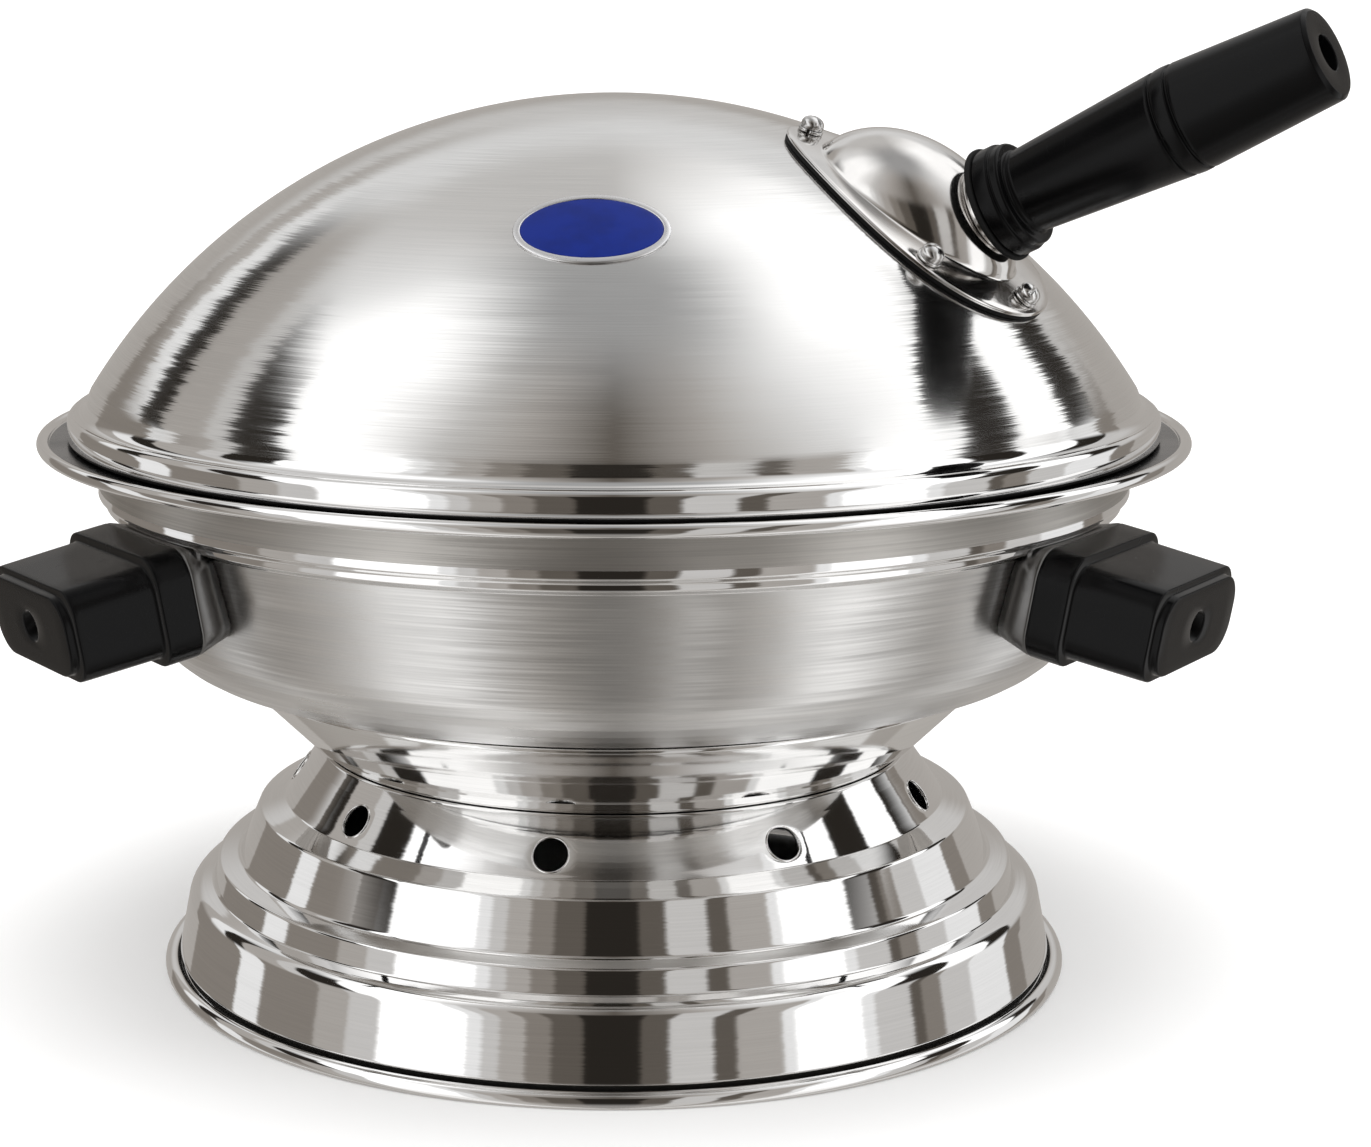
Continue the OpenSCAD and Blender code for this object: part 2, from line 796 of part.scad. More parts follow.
// Wire feet that lean in from the rim wire to the bowl's floor
module grill_feet() {
    wire_r = rim_wire_d / 2;
    foot_z = floor_top_z + lift_gap + wire_r;
    drop = grill_z() - foot_z;
    lean = atan2(foot_lean, drop);
    run = norm([foot_lean, drop]);
    color(STEEL)
        difference() {
            for (i = [0 : foot_count - 1])
                outward(180 / foot_count + i * 360 / foot_count)
                    translate([grill_r - foot_lean, 0, foot_z])
                        rotate([0, lean, 0]) {
                            sphere(wire_r);
                            cylinder(r = wire_r, h = run);
                        }
            translate([0, 0, grill_z()])
                rotate_extrude()
                    translate([grill_r, 0])
                        circle(wire_r + fit_gap);
            translate([0, 0, grill_z()])
                cylinder(r = 2 * grill_r, h = FAR);
        }
}

module lid_dome() {
    color(STEEL)
        difference() {
            rotate_extrude()
                polygon(sheet_outline(lid_path, sheet_t, [-1, 0]));
            at_bracket_screws()
                translate([0, 0, dome_r - 4 * sheet_t])
                    cylinder(d = bracket_screw_d + 4 * fit_gap, h = 8 * sheet_t);
        }
}

module badge_plate() {
    color(PLATE_BLUE)
        intersection() {
            dome_shell(fit_gap, badge_t);
            on_dome(badge_az, badge_polar)
                linear_extrude(dome_r + FAR)
                    polygon(oval(badge_h / 2, badge_w / 2));
        }
}

// Solid of the bracket's bulge, shrunk all round by an inset and cut flat at the handle's seat
module bulge_solid(inset) {
    long = bulge_len - inset;
    wide = bulge_r - inset;
    difference() {
        on_dome(handle_az, bracket_polar)
            translate([0, 0, dome_r - bulge_sink])
                rotate([0, 90, 0])
                    rotate_extrude()
                        polygon([
                            for (i = [0 : ARC_STEPS * 4])
                                let (t = 180 * i / (ARC_STEPS * 4))
                                [i == 0 || i == ARC_STEPS * 4 ? 0 : wide * sin(t), -long * cos(t)]
                        ]);
        on_handle_axis()
            translate([0, 0, -inset])
                cylinder(r = FAR, h = FAR);
    }
}

module handle_bracket() {
    color(BRIGHT_STEEL)
        difference() {
            union() {
                intersection() {
                    dome_shell(gasket_t, gasket_t + sheet_t);
                    on_dome(handle_az, bracket_polar)
                        linear_extrude(dome_r + FAR)
                            polygon(oval(plate_len, plate_wid, plate_skew));
                }
                bulge_solid(0);
            }
            bulge_solid(sheet_t);
            translate([0, 0, dome_z])
                sphere(dome_r + gasket_t);
            on_handle_axis()
                translate([0, 0, -2 * sheet_t])
                    cylinder(d = lid_bolt_d + 4 * fit_gap, h = 4 * sheet_t);
            at_bracket_screws()
                translate([0, 0, dome_r])
                    cylinder(d = bracket_screw_d + 4 * fit_gap, h = 8 * sheet_t);
        }
}

module bracket_gasket() {
    color(BLACK)
        difference() {
            intersection() {
                dome_shell(fit_gap, gasket_t - fit_gap);
                on_dome(handle_az, bracket_polar)
                    linear_extrude(dome_r + FAR)
                        difference() {
                            polygon(oval(plate_len - sheet_t / 2, plate_wid - sheet_t / 2, plate_skew));
                            polygon(oval(bulge_len, bulge_r));
                        }
            }
            at_bracket_screws()
                translate([0, 0, dome_r - sheet_t])
                    cylinder(d = bracket_screw_d + 4 * fit_gap, h = 8 * sheet_t);
        }
}

function spring_washer_h() = bracket_screw_d / 4;
function washer_z() = plate_top + fit_gap;

module bracket_screws() {
    head_d = 1.6 * bracket_screw_d;
    head_h = 0.85 * bracket_screw_d;
    head_z = washer_z() + spring_washer_h();
    reach = head_z - dome_r + sheet_t + 2 * fit_gap + nut_high * bracket_screw_d;
    color(STEEL)
        at_bracket_screws()
            translate([0, 0, head_z])
                slotted_screw(bracket_screw_d, head_d, head_h, reach);
}

// Split spring washers under the screw heads
module bracket_washers() {
    outer_d = 1.75 * bracket_screw_d;
    split_w = bracket_screw_d / 5;
    color(DARK_STEEL)
        at_bracket_screws()
            translate([0, 0, washer_z()])
                difference() {
                    ring(outer_d, bracket_screw_d + 2 * fit_gap, spring_washer_h());
                    translate([0, -split_w / 2, -CUT])
                        cube([outer_d, split_w, spring_washer_h() + 2 * CUT]);
                }
}

module bracket_nuts() {
    color(DARK_STEEL)
        at_bracket_screws()
            translate([0, 0, dome_r - sheet_t - 2 * fit_gap])
                hex_nut(bracket_screw_d);
}

// Turned black handle: flange, step, neck, swell with two grooves, taper and a hole in its end
module lid_grip() {
    swell_at = groove_from + groove_pitch / 2;
    neck_at = flange_h + collar_step_h;
    tip_round = 1;
    profile = [
        [0, 0],
        [flange_d / 2 - tip_round / 2, 0],
        [flange_d / 2, tip_round / 2],
        [flange_d / 2, flange_h - tip_round / 2],
        [flange_d / 2 - tip_round / 2, flange_h],
        [collar_d / 2, flange_h],
        [collar_d / 2, neck_at],
        [neck_d / 2, neck_at],
        [swell_d / 2, swell_at],
        [tip_d / 2, lid_grip_len - tip_round],
        [tip_d / 2 - tip_round, lid_grip_len],
        [0, lid_grip_len]
    ];
    color(BLACK)
        on_handle_axis()
            translate([0, 0, seal_top])
                difference() {
                    rotate_extrude()
                        polygon(profile);
                    for (z = [groove_from, groove_from + groove_pitch])
                        translate([0, 0, z - groove_w / 2])
                            ring(2 * swell_d, swell_d - 2 * groove_h, groove_w);
                    translate([0, 0, -CUT])
                        cylinder(d = lid_bolt_d + 4 * fit_gap, h = lid_grip_len);
                    translate([0, 0, lid_grip_len - tip_hole_h])
                        cylinder(d = tip_hole_d, h = tip_hole_h + CUT);
                }
}

module lid_grip_washer() {
    color(BLACK)
        on_handle_axis()
            translate([0, 0, ferrule_top])
                ring(flange_d + seal_t, lid_bolt_d + 4 * fit_gap, seal_t);
}

module lid_grip_ferrule() {
    color(BRIGHT_STEEL)
        on_handle_axis()
            ring(ferrule_d, lid_bolt_d + 4 * fit_gap, ferrule_h);
}

module lid_grip_bolt() {
    head_z = seal_top + lid_grip_len - tip_hole_h;
    head_h = 0.6 * lid_bolt_d;
    reach = head_z + sheet_t + 2 * fit_gap + nut_high * lid_bolt_d;
    color(DARK_STEEL)
        on_handle_axis()
            translate([0, 0, head_z])
                slotted_screw(lid_bolt_d, tip_hole_d - 6 * fit_gap, head_h, reach);
}

module lid_grip_nut() {
    color(DARK_STEEL)
        on_handle_axis()
            translate([0, 0, -sheet_t])
                hex_nut(lid_bolt_d);
}

base_stand();
bowl();
bowl_collar();
side_bracket(-side_az);  // side_bracket_left
side_bracket(side_az);  // side_bracket_right
side_grip(-side_az);  // side_grip_left
side_grip(side_az);  // side_grip_right
side_grip_screws();
side_grip_nuts();
flame_deflector();
deflector_legs();
deflector_rivets();
grill_rim();
grill_bars();
grill_cross_wires();
grill_feet();
lid_dome();
badge_plate();
handle_bracket();
bracket_gasket();
bracket_screws();
bracket_washers();
bracket_nuts();
lid_grip();
lid_grip_washer();
lid_grip_ferrule();
lid_grip_bolt();
lid_grip_nut();
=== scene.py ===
"""Looks of a stove-top gas tandoor: a spun steel base stand, bowl and domed lid with black moulded grips.

Sizes are in millimetres and become metres where a mesh is made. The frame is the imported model's:
+Z up, the front towards -Y, the origin on the floor under the axis.
"""

import logging
from dataclasses import dataclass
from enum import Enum
from functools import cache
from math import acos, asin, atan2, ceil, copysign, cos, degrees, hypot, pi, radians, sin, sqrt, tan, tau
from typing import Any, Callable, Iterable, Sequence

import bmesh
import bpy
from mathutils import Matrix, Vector


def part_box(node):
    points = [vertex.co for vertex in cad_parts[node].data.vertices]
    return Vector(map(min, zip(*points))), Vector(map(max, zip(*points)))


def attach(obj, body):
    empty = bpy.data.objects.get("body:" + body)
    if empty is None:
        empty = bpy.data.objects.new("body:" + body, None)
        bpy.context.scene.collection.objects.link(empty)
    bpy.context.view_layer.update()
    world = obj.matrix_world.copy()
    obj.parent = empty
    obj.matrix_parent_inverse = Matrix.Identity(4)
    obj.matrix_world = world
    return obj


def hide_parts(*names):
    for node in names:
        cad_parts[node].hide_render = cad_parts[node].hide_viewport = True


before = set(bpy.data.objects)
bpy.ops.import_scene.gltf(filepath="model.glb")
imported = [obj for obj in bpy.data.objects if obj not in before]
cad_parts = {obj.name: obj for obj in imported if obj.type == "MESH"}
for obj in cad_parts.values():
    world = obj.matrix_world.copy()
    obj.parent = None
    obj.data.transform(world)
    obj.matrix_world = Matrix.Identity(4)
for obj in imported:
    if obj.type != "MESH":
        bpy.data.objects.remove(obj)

MM = 0.001
ARC_STEPS = 8
HOLD = 0.25
STRETCH = 5.0
WELD = 1e-7
TINY = 1e-6

Piece = bpy.types.Object
Material = bpy.types.Material
Ring = list[Vector]
Colour = tuple[float, float, float]
Stop = tuple[float, Colour]
log = logging.getLogger("tandoor")


class Body(Enum):
    """The moving bodies of the frame."""

    BASE = "base"
    BOWL = "bowl"
    GRILL = "grill"
    LID = "lid"


class Slot(Enum):
    """The record's material slots."""

    BRUSHED = "brushed_steel"
    POLISHED = "polished_steel"
    PRESSED = "pressed_steel"
    WIRE = "grill_wire"
    MOULDED = "black_moulding"
    GASKET = "black_gasket"
    BADGE = "badge"


# Node trees


def paired(operation: str) -> tuple[Callable, Callable]:
    """Makes the two methods of an operator on values.

    Args:
        operation: The Math node's operation.

    Returns:
        The plain and the reflected form.
    """

    def plain(value: "Value", other: Any) -> "Value":
        """Returns the operation on a value and another term."""
        return value.maths(operation, value, other)

    def reflected(value: "Value", other: Any) -> "Value":
        """Returns the operation on another term and a value."""
        return value.maths(operation, other, value)

    return plain, reflected


class Value:
    """A node's output that takes part in Python expressions."""

    def __init__(self, space: "NodeSpace", socket: bpy.types.NodeSocket) -> None:
        """Wraps a socket of a node in the space."""
        self.space = space
        self.socket = socket

    def maths(self, operation: str, *terms: Any) -> "Value":
        """Adds a Math node.

        Args:
            operation: The Math node's operation.
            terms: Its inputs in order, values or numbers.

        Returns:
            The node's result.
        """
        return self.space.out("ShaderNodeMath", {"operation": operation}, dict(enumerate(terms)))

    __add__, __radd__ = paired("ADD")
    __sub__, __rsub__ = paired("SUBTRACT")
    __mul__, __rmul__ = paired("MULTIPLY")
    __truediv__, __rtruediv__ = paired("DIVIDE")
    __pow__, __rpow__ = paired("POWER")

    def __abs__(self) -> "Value":
        """Returns the size of self."""
        return self.maths("ABSOLUTE", self)

    def turn_from(self, across: "Value") -> "Value":
        """Returns the angle whose tangent is self over across."""
        return self.maths("ARCTAN2", self, across)

    def arcsine(self) -> "Value":
        """Returns the angle whose sine is self."""
        return self.maths("ARCSINE", self)

    def ramp(self, low: float, high: float, start: float = 0.0, end: float = 1.0) -> "Value":
        """Runs smoothly from one number to another.

        Args:
            low: Where the run starts.
            high: Where it ends.
            start: The result at low and below.
            end: The result at high and above.

        Returns:
            The smooth run.
        """
        ends = {"Value": self, "From Min": low, "From Max": high, "To Min": start, "To Max": end}
        return self.space.out("ShaderNodeMapRange", {"interpolation_type": "SMOOTHSTEP"}, ends)


class NodeSpace:
    """Adds nodes to one tree."""

    def __init__(self, tree: bpy.types.NodeTree) -> None:
        """Starts with an empty tree."""
        self.tree = tree
        tree.nodes.clear()

    @classmethod
    def of(cls, owner: Material | bpy.types.World) -> "NodeSpace":
        """Returns the empty space of a material or a world."""
        owner.use_nodes = True
        return cls(owner.node_tree)

    def add(self, kind: str, settings: dict[str, Any] | None = None,
            values: dict | None = None) -> bpy.types.Node:
        """Adds any node.

        Args:
            kind: The node's type.
            settings: What is set on the node first; "stops" are a ramp's places and colours.
            values: Numbers or links for its sockets, by name or by index.

        Returns:
            The node.
        """
        node = self.tree.nodes.new(kind)
        for key, setting in (settings or {}).items():
            if key == "stops":
                self._set_stops(node.color_ramp, setting)
            else:
                setattr(node, key, setting)
        for key, value in (values or {}).items():
            if isinstance(value, Value):
                self.tree.links.new(value.socket, node.inputs[key])
            else:
                node.inputs[key].default_value = value
        return node

    def out(self, kind: str, settings: dict[str, Any] | None = None, values: dict | None = None,
            output: Any = 0) -> Value:
        """Adds a node as add() does and returns one of its outputs."""
        return Value(self, self.add(kind, settings, values).outputs[output])

    @staticmethod
    def _set_stops(ramp: bpy.types.ColorRamp, stops: Sequence[Stop]) -> None:
        """Sets a colour ramp's stops.

        Args:
            ramp: The ramp.
            stops: Places from 0 to 1 with their colours, in rising order.
        """
        ramp.interpolation = "LINEAR"
        while len(ramp.elements) < len(stops):
            ramp.elements.new(1.0)
        for element, (place, colour) in zip(ramp.elements, stops):
            element.position = place
            element.color = (*colour, 1.0)

    def split(self, vector: Value) -> tuple[Value, Value, Value]:
        """Returns the three numbers of a vector."""
        node = self.add("ShaderNodeSeparateXYZ", values={0: vector})
        return tuple(Value(self, socket) for socket in node.outputs)

    def join(self, x: Any, y: Any, z: Any) -> Value:
        """Returns a vector made of three numbers."""
        return self.out("ShaderNodeCombineXYZ", values={0: x, 1: y, 2: z})

    def vector(self, operation: str, *terms: Any) -> Value:
        """Returns the result of a Vector Math node on its terms."""
        return self.out("ShaderNodeVectorMath", {"operation": operation}, dict(enumerate(terms)))

    def mix(self, share: Any, first: Any, second: Any) -> Value:
        """Returns a colour between two colours."""
        return self.out("ShaderNodeMix", {"data_type": "RGBA"}, {0: share, 6: first, 7: second}, 2)

    def noise(self, place: Value, scale: float, detail: float = 2.0, roughness: float = 0.5) -> Value:
        """Returns a noise from 0 to 1 at a place."""
        values = {"Vector": place, "Scale": scale, "Detail": detail, "Roughness": roughness}
        return self.out("ShaderNodeTexNoise", values=values)

    def bump(self, height: Value, depth: float, normal: Value | None = None) -> Value:
        """Leans a normal by a height.

        Args:
            height: The height, from 0 to 1.
            depth: What a height of 1 stands for, in metres.
            normal: The normal to lean, or the surface's own.

        Returns:
            The leaned normal.
        """
        values = {"Height": height, "Distance": depth, "Strength": 1.0}
        if normal is not None:
            values["Normal"] = normal
        return self.out("ShaderNodeBump", values=values)


# Finishes


@dataclass(frozen=True)
class Finish:
    """A surface finish that makes its own material."""

    name: str
    colour: Colour
    roughness: float
    metallic: float = 1.0

    @cache
    def material(self) -> Material:
        """Makes the finish's material, once.

        Returns:
            The material.
        """
        made = bpy.data.materials.new(self.name)
        made.diffuse_color = (*self.colour, 1.0)
        space = NodeSpace.of(made)
        fixed = {"Base Color": (*self.colour, 1.0), "Roughness": self.roughness, "Metallic": self.metallic}
        values = {**fixed, **self.sockets(space)}
        shader = space.out("ShaderNodeBsdfPrincipled", values=values)
        space.add("ShaderNodeOutputMaterial", values={"Surface": shader})
        return made

    def sockets(self, space: NodeSpace) -> dict[str, Any]:
        """Returns what else the shader's sockets take."""
        return {}

    @staticmethod
    def place(space: NodeSpace) -> Value:
        """Returns the place on the piece, in metres."""
        return space.out("ShaderNodeTexCoord", output="Object")

    def tinted(self, space: NodeSpace, share: Value, depth: float) -> Value:
        """Returns the finish's colour, darkened by up to a depth.

        Args:
            space: The material's nodes.
            share: Where it is dark, from 0 to 1.
            depth: How much darker, as a share.

        Returns:
            The colour.
        """
        dark = (*(c * (1.0 - depth) for c in self.colour), 1.0)
        return space.mix(share, (*self.colour, 1.0), dark)


@dataclass(frozen=True)
class SpunSteel(Finish):
    """Steel sheet that was spun on a lathe, with fine lines round its axis.

    The lines vary the gloss and lean the surface a little sideways, so that a reflection's edges comb out.
    """

    anisotropy: float = 0.0
    line_pitch: float = 0.5
    line_turn: float = 3.0
    gloss_spread: float = 0.1
    comb: float = 0.0
    rise: float = -1.0
    lift: float = 0.0
    tarnish: float = 0.08
    ripple: float = 0.0
    broad_turn: float = 1.5
    fine_share: float = 0.7
    cloud_scale: float = 26.0
    ripple_scale: float = 34.0

    BROADER = 9

    def sockets(self, space: NodeSpace) -> dict[str, Any]:
        """Varies the colour, gloss and normal, and fixes the anisotropy.

        Args:
            space: The material's nodes.

        Returns:
            What the shader's sockets take.
        """
        place = self.place(space)
        x, y, z = space.split(place)
        radius = (x * x + y * y) ** 0.5 + TINY
        east, north = x / radius, y / radius
        along = z + self.rise * radius
        fine, broad = (
            space.noise(space.join(east * turn, north * turn, along / (pitch * MM)), 1.0, detail)
            for turn, pitch, detail in (
                (self.line_turn, self.line_pitch, 3.0),
                (self.broad_turn, self.line_pitch * self.BROADER, 2.0),
            )
        )
        lines = fine * self.fine_share + broad * (1.0 - self.fine_share)
        cloud = space.noise(place, self.cloud_scale, 3.0)
        gloss = self.roughness + (lines - 0.5) * self.gloss_spread + (cloud - 0.5) * self.gloss_spread * 0.5
        level = space.out("ShaderNodeNewGeometry", output="Normal")
        sway = (lines - 0.5) * self.comb
        lean = space.join(0.0 - north * sway, east * sway, self.lift)
        normal = space.vector("NORMALIZE", space.vector("ADD", level, lean))
        if self.ripple:
            normal = space.bump(space.noise(place, self.ripple_scale, 1.0), self.ripple * MM, normal)
        return {
            "Base Color": self.tinted(space, (lines * 0.7 + cloud * 0.3).ramp(0.36, 0.64), self.tarnish),
            "Roughness": gloss,
            "Anisotropic": self.anisotropy,
            "Anisotropic Rotation": 0.25,
            "Normal": normal,
        }


@dataclass(frozen=True)
class PlainSteel(Finish):
    """Pressed or drawn steel with faint grain and clouding."""

    grain: float = 900.0
    grain_depth: float = 0.004
    tarnish: float = 0.25

    def sockets(self, space: NodeSpace) -> dict[str, Any]:
        """Varies the colour, gloss and normal.

        Args:
            space: The material's nodes.

        Returns:
            What the shader's sockets take.
        """
        place = self.place(space)
        cloud = space.noise(place, 60.0, 4.0)
        grain = space.noise(place, self.grain, 2.0)
        return {
            "Base Color": self.tinted(space, cloud.ramp(0.35, 0.7), self.tarnish),
            "Roughness": self.roughness + (cloud - 0.5) * 0.16 + (grain - 0.5) * 0.1,
            "Normal": space.bump(grain, self.grain_depth * MM),
        }


@dataclass(frozen=True)
class BlackMoulding(Finish):
    """Satin black heat-proof moulding with faint grain, rub marks and hairline scratches."""

    grain_depth: float = 0.004
    scratch_width: float = 0.004
    sheen: float = 0.12
    rub: float = 3.2

    def sockets(self, space: NodeSpace) -> dict[str, Any]:
        """Varies the colour, gloss and normal.

        Args:
            space: The material's nodes.

        Returns:
            What the shader's sockets take.
        """
        place = self.place(space)
        cloud = space.noise(place, 70.0, 4.0)
        grain = space.noise(place, 1500.0, 2.0)
        crossing = abs(space.noise(place, 90.0, 2.0) - 0.5)
        patches = space.noise(place, 140.0, 1.0).ramp(0.56, 0.66)
        scratches = (1.0 - crossing.ramp(0.0, self.scratch_width)) * patches
        worn = scratches * 0.8 + cloud.ramp(0.55, 0.8) * 0.15
        rubbed = (*(min(1.0, c * self.rub) for c in self.colour), 1.0)
        return {
            "Base Color": space.mix(worn, (*self.colour, 1.0), rubbed),
            "Roughness": self.roughness + (cloud - 0.5) * 0.1 + scratches * 0.12,
            "Specular IOR Level": self.sheen,
            "Normal": space.bump(grain - scratches * 0.5, self.grain_depth * MM),
        }


@dataclass(frozen=True)
class Enamel(Finish):
    """Fired enamel with a clear gloss and a slight waviness."""

    def sockets(self, space: NodeSpace) -> dict[str, Any]:
        """Varies the colour, gloss and normal, and fixes the coat.

        Args:
            space: The material's nodes.

        Returns:
            What the shader's sockets take.
        """
        place = self.place(space)
        cloud = space.noise(place, 160.0, 3.0)
        return {
            "Base Color": self.tinted(space, cloud.ramp(0.35, 0.75), 0.22),
            "Roughness": self.roughness + (cloud - 0.5) * 0.08,
            "Specular IOR Level": 0.15,
            "Coat Weight": 0.12,
            "Coat Roughness": 0.08,
            "Normal": space.bump(cloud, 0.01 * MM),
        }


STEEL = (0.86, 0.855, 0.845)
BRUSH = dict(anisotropy=0.8, gloss_spread=0.14)
MIRROR = dict(anisotropy=0.3, line_pitch=0.6, gloss_spread=0.05, comb=0.02, tarnish=0.06, ripple=0.01)
BRUSHED = SpunSteel("brushed_dome", STEEL, 0.13, comb=0.11, **BRUSH)
WALL = SpunSteel("brushed_wall", STEEL, 0.3, comb=0.18, tarnish=0.22, **BRUSH)
# Duller brushed steel for the band under the rim; its darker colour is painted shade under the rim's
# overhang.
SHADED_BAND = SpunSteel("brushed_band_painted_shade", (0.66, 0.64, 0.61), 0.5, comb=0.12, tarnish=0.2, **BRUSH)
POLISHED = SpunSteel("polished_rings", (0.89, 0.885, 0.88), 0.045, **MIRROR)
COLLAR = SpunSteel("polished_collar", (0.87, 0.865, 0.855), 0.06, rise=1.0, lift=0.28, **MIRROR)
# Near-black steel for inner faces, vent bores, the collar's hidden faces, the foot crevice and the lid
# bead's tuck: painted shade.
PAINTED_SHADE_STEEL = PlainSteel("painted_shade_steel", (0.06, 0.058, 0.055), 0.6)
# Dull dark steel: the fasteners' own finish, and on the bowl's channel a painted shade under the lid's
# bead.
PRESSED = PlainSteel("dull_fastener_and_channel_shade", (0.16, 0.16, 0.165), 0.26)
PLATE = PlainSteel("pressed_plate", (0.17, 0.167, 0.164), 0.32)
BRACKET = PlainSteel("pressed_bracket", (0.80, 0.785, 0.77), 0.12, tarnish=0.12)
BRIGHT = PlainSteel("plated_fastener", (0.74, 0.735, 0.73), 0.2)
WIRE = PlainSteel("bright_wire", (0.66, 0.655, 0.65), 0.24)
MOULDED = BlackMoulding("black_moulding", (0.002, 0.002, 0.0022), 0.2, 0.0)
GASKET = BlackMoulding("black_rubber", (0.008, 0.008, 0.008), 0.6, 0.0)
ENAMEL = Enamel("blue_enamel", (0.002, 0.015, 0.17), 0.35, 0.0)
BORDER = PlainSteel("satin_border", (0.86, 0.86, 0.87), 0.28, tarnish=0.08)


# Shapes


@dataclass(frozen=True)
class Corner:
    """A corner of a profile: its distance from the axis, its height and its rounding."""

    r: float
    z: float
    round: float = 0.0

    @property
    def point(self) -> Vector:
        """The corner's place in the profile's plane."""
        return Vector((self.r, self.z))


def left_of(way: Vector) -> Vector:
    """Returns a direction turned a quarter to the left."""
    return Vector((-way.y, way.x))


def rounded(corners: Sequence[Corner], steps: int = ARC_STEPS) -> list[Vector]:
    """Rounds the corners of a profile.

    Args:
        corners: The profile's corners in order.
        steps: How many stretches an arc has.

    Returns:
        The profile's points.
    """
    path: list[Vector] = []
    for before, corner, after in zip([None, *corners], corners, [*corners[1:], None]):
        if before is None or after is None or not corner.round:
            path.append(corner.point)
            continue
        way_in = (corner.point - before.point).normalized()
        way_out = (after.point - corner.point).normalized()
        turn = atan2(way_in.x * way_out.y - way_in.y * way_out.x, way_in.dot(way_out))
        side = copysign(1.0, turn)
        reach = corner.round * tan(abs(turn) / 2)
        centre = corner.point - way_in * reach + left_of(way_in) * side * corner.round
        for k in range(steps + 1):
            spoke = Matrix.Rotation(turn * k / steps, 2) @ left_of(way_in)
            path.append(centre - spoke * side * corner.round)
    return path


def eased(path: Sequence[Vector], stretch: float = STRETCH) -> list[Vector]:
    """Adds points along the straights, with one close to each end, so that their shading stays flat.

    Args:
        path: The profile's points.
        stretch: The longest stretch that is left.

    Returns:
        The profile with the added points.
    """
    out = [path[0]]
    for a, b in zip(path, path[1:]):
        run = (b - a).length
        if run > 4 * HOLD:
            cuts = max(1, ceil((run - 2 * HOLD) / stretch))
            for k in range(cuts + 1):
                out.append(a.lerp(b, (HOLD + (run - 2 * HOLD) * k / cuts) / run))
        out.append(b)
    return out


def inner_side(path: Sequence[Vector], thickness: float, end_way: Vector | None = None) -> list[Vector]:
    """Finds the other face of a sheet.

    Args:
        path: The points of the face that is drawn, with the sheet on its left.
        thickness: The sheet's thickness.
        end_way: The direction of the path past its last point, where the path ends on the axis.

    Returns:
        The points of the other face, in the path's order.
    """
    ways = [(b - a).normalized() for a, b in zip(path, path[1:])]
    ways_in = [ways[0], *ways]
    ways_out = [*ways, end_way or ways[-1]]
    if end_way is not None:
        ways_in[-1] = end_way
    points = []
    for point, way_in, way_out in zip(path, ways_in, ways_out):
        total = left_of(way_in) + left_of(way_out)
        points.append(point + total * (thickness / (1 + left_of(way_in).dot(left_of(way_out)))))
    return points


def bead_arc(centre: Vector, radius: float, start: float, end: float, steps: int = 20) -> list[Vector]:
    """Returns the points of an arc between two angles in degrees."""
    angles = [radians(start + (end - start) * k / steps) for k in range(steps + 1)]
    return [centre + Vector((cos(a), sin(a))) * radius for a in angles]


def spin(path: Iterable[Vector], count: int, start: float = 0.0) -> list[Ring]:
    """Turns a profile round the axis.

    Args:
        path: The profile's points.
        count: How many points each ring has.
        start: The first point's azimuth from the front, in degrees.

    Returns:
        One ring for each point, of a single point where the profile meets the axis.
    """
    azimuths = [radians(start + 360.0 * k / count) for k in range(count)]
    rings = []
    for point in path:
        if point.x < TINY:
            rings.append([Vector((0.0, 0.0, point.y))])
        else:
            rings.append([Vector((point.x * sin(a), -point.x * cos(a), point.y)) for a in azimuths])
    return rings


def outward(azimuth: float) -> Matrix:
    """Returns the turn that points local +X outward at an azimuth from the front, in degrees."""
    return Matrix.Rotation(radians(azimuth - 90.0), 4, "Z")


def raised(z: float, out: float = 0.0) -> Matrix:
    """Returns the move along +Z, and out along +X."""
    return Matrix.Translation((out, 0, z))


def circle(count: int) -> Ring:
    """Returns the points of a circle of radius 1 on z = 0, from +X."""
    angles = [tau * k / count for k in range(count)]
    return [Vector((cos(a), sin(a), 0.0)) for a in angles]


def pole(z: float) -> Ring:
    """Returns a ring of one point on the axis."""
    return [Vector((0, 0, z))]


def capped(rings: Sequence[Ring]) -> list[Ring]:
    """Returns rings with a point in the middle of each end."""
    first, last = ([sum(ring, Vector()) / len(ring)] for ring in (rings[0], rings[-1]))
    return [first, *rings, last]


def domed(r: float, z: float, high: float, steps: int) -> list[Vector]:
    """Returns the profile of a dome, from its side to the axis.

    Args:
        r: The dome's radius.
        z: Where its side is.
        high: How far it rises, or falls where this is negative.
        steps: How many stretches it has.

    Returns:
        The profile's points.
    """
    angles = [radians(90.0 * k / steps) for k in range(steps + 1)]
    path = [Vector((r * cos(a), z + high * sin(a))) for a in angles]
    path[-1].x = 0.0
    return path


def linked(name: str, data: bpy.types.ID) -> Piece:
    """Returns a new object in the scene."""
    made = bpy.data.objects.new(name, data)
    bpy.context.scene.collection.objects.link(made)
    return made


def finished_mesh(piece: Piece) -> bpy.types.Mesh:
    """Returns a plain mesh of a piece as its modifiers leave it."""
    graph = bpy.context.evaluated_depsgraph_get()
    return bpy.data.meshes.new_from_object(piece.evaluated_get(graph), depsgraph=graph)


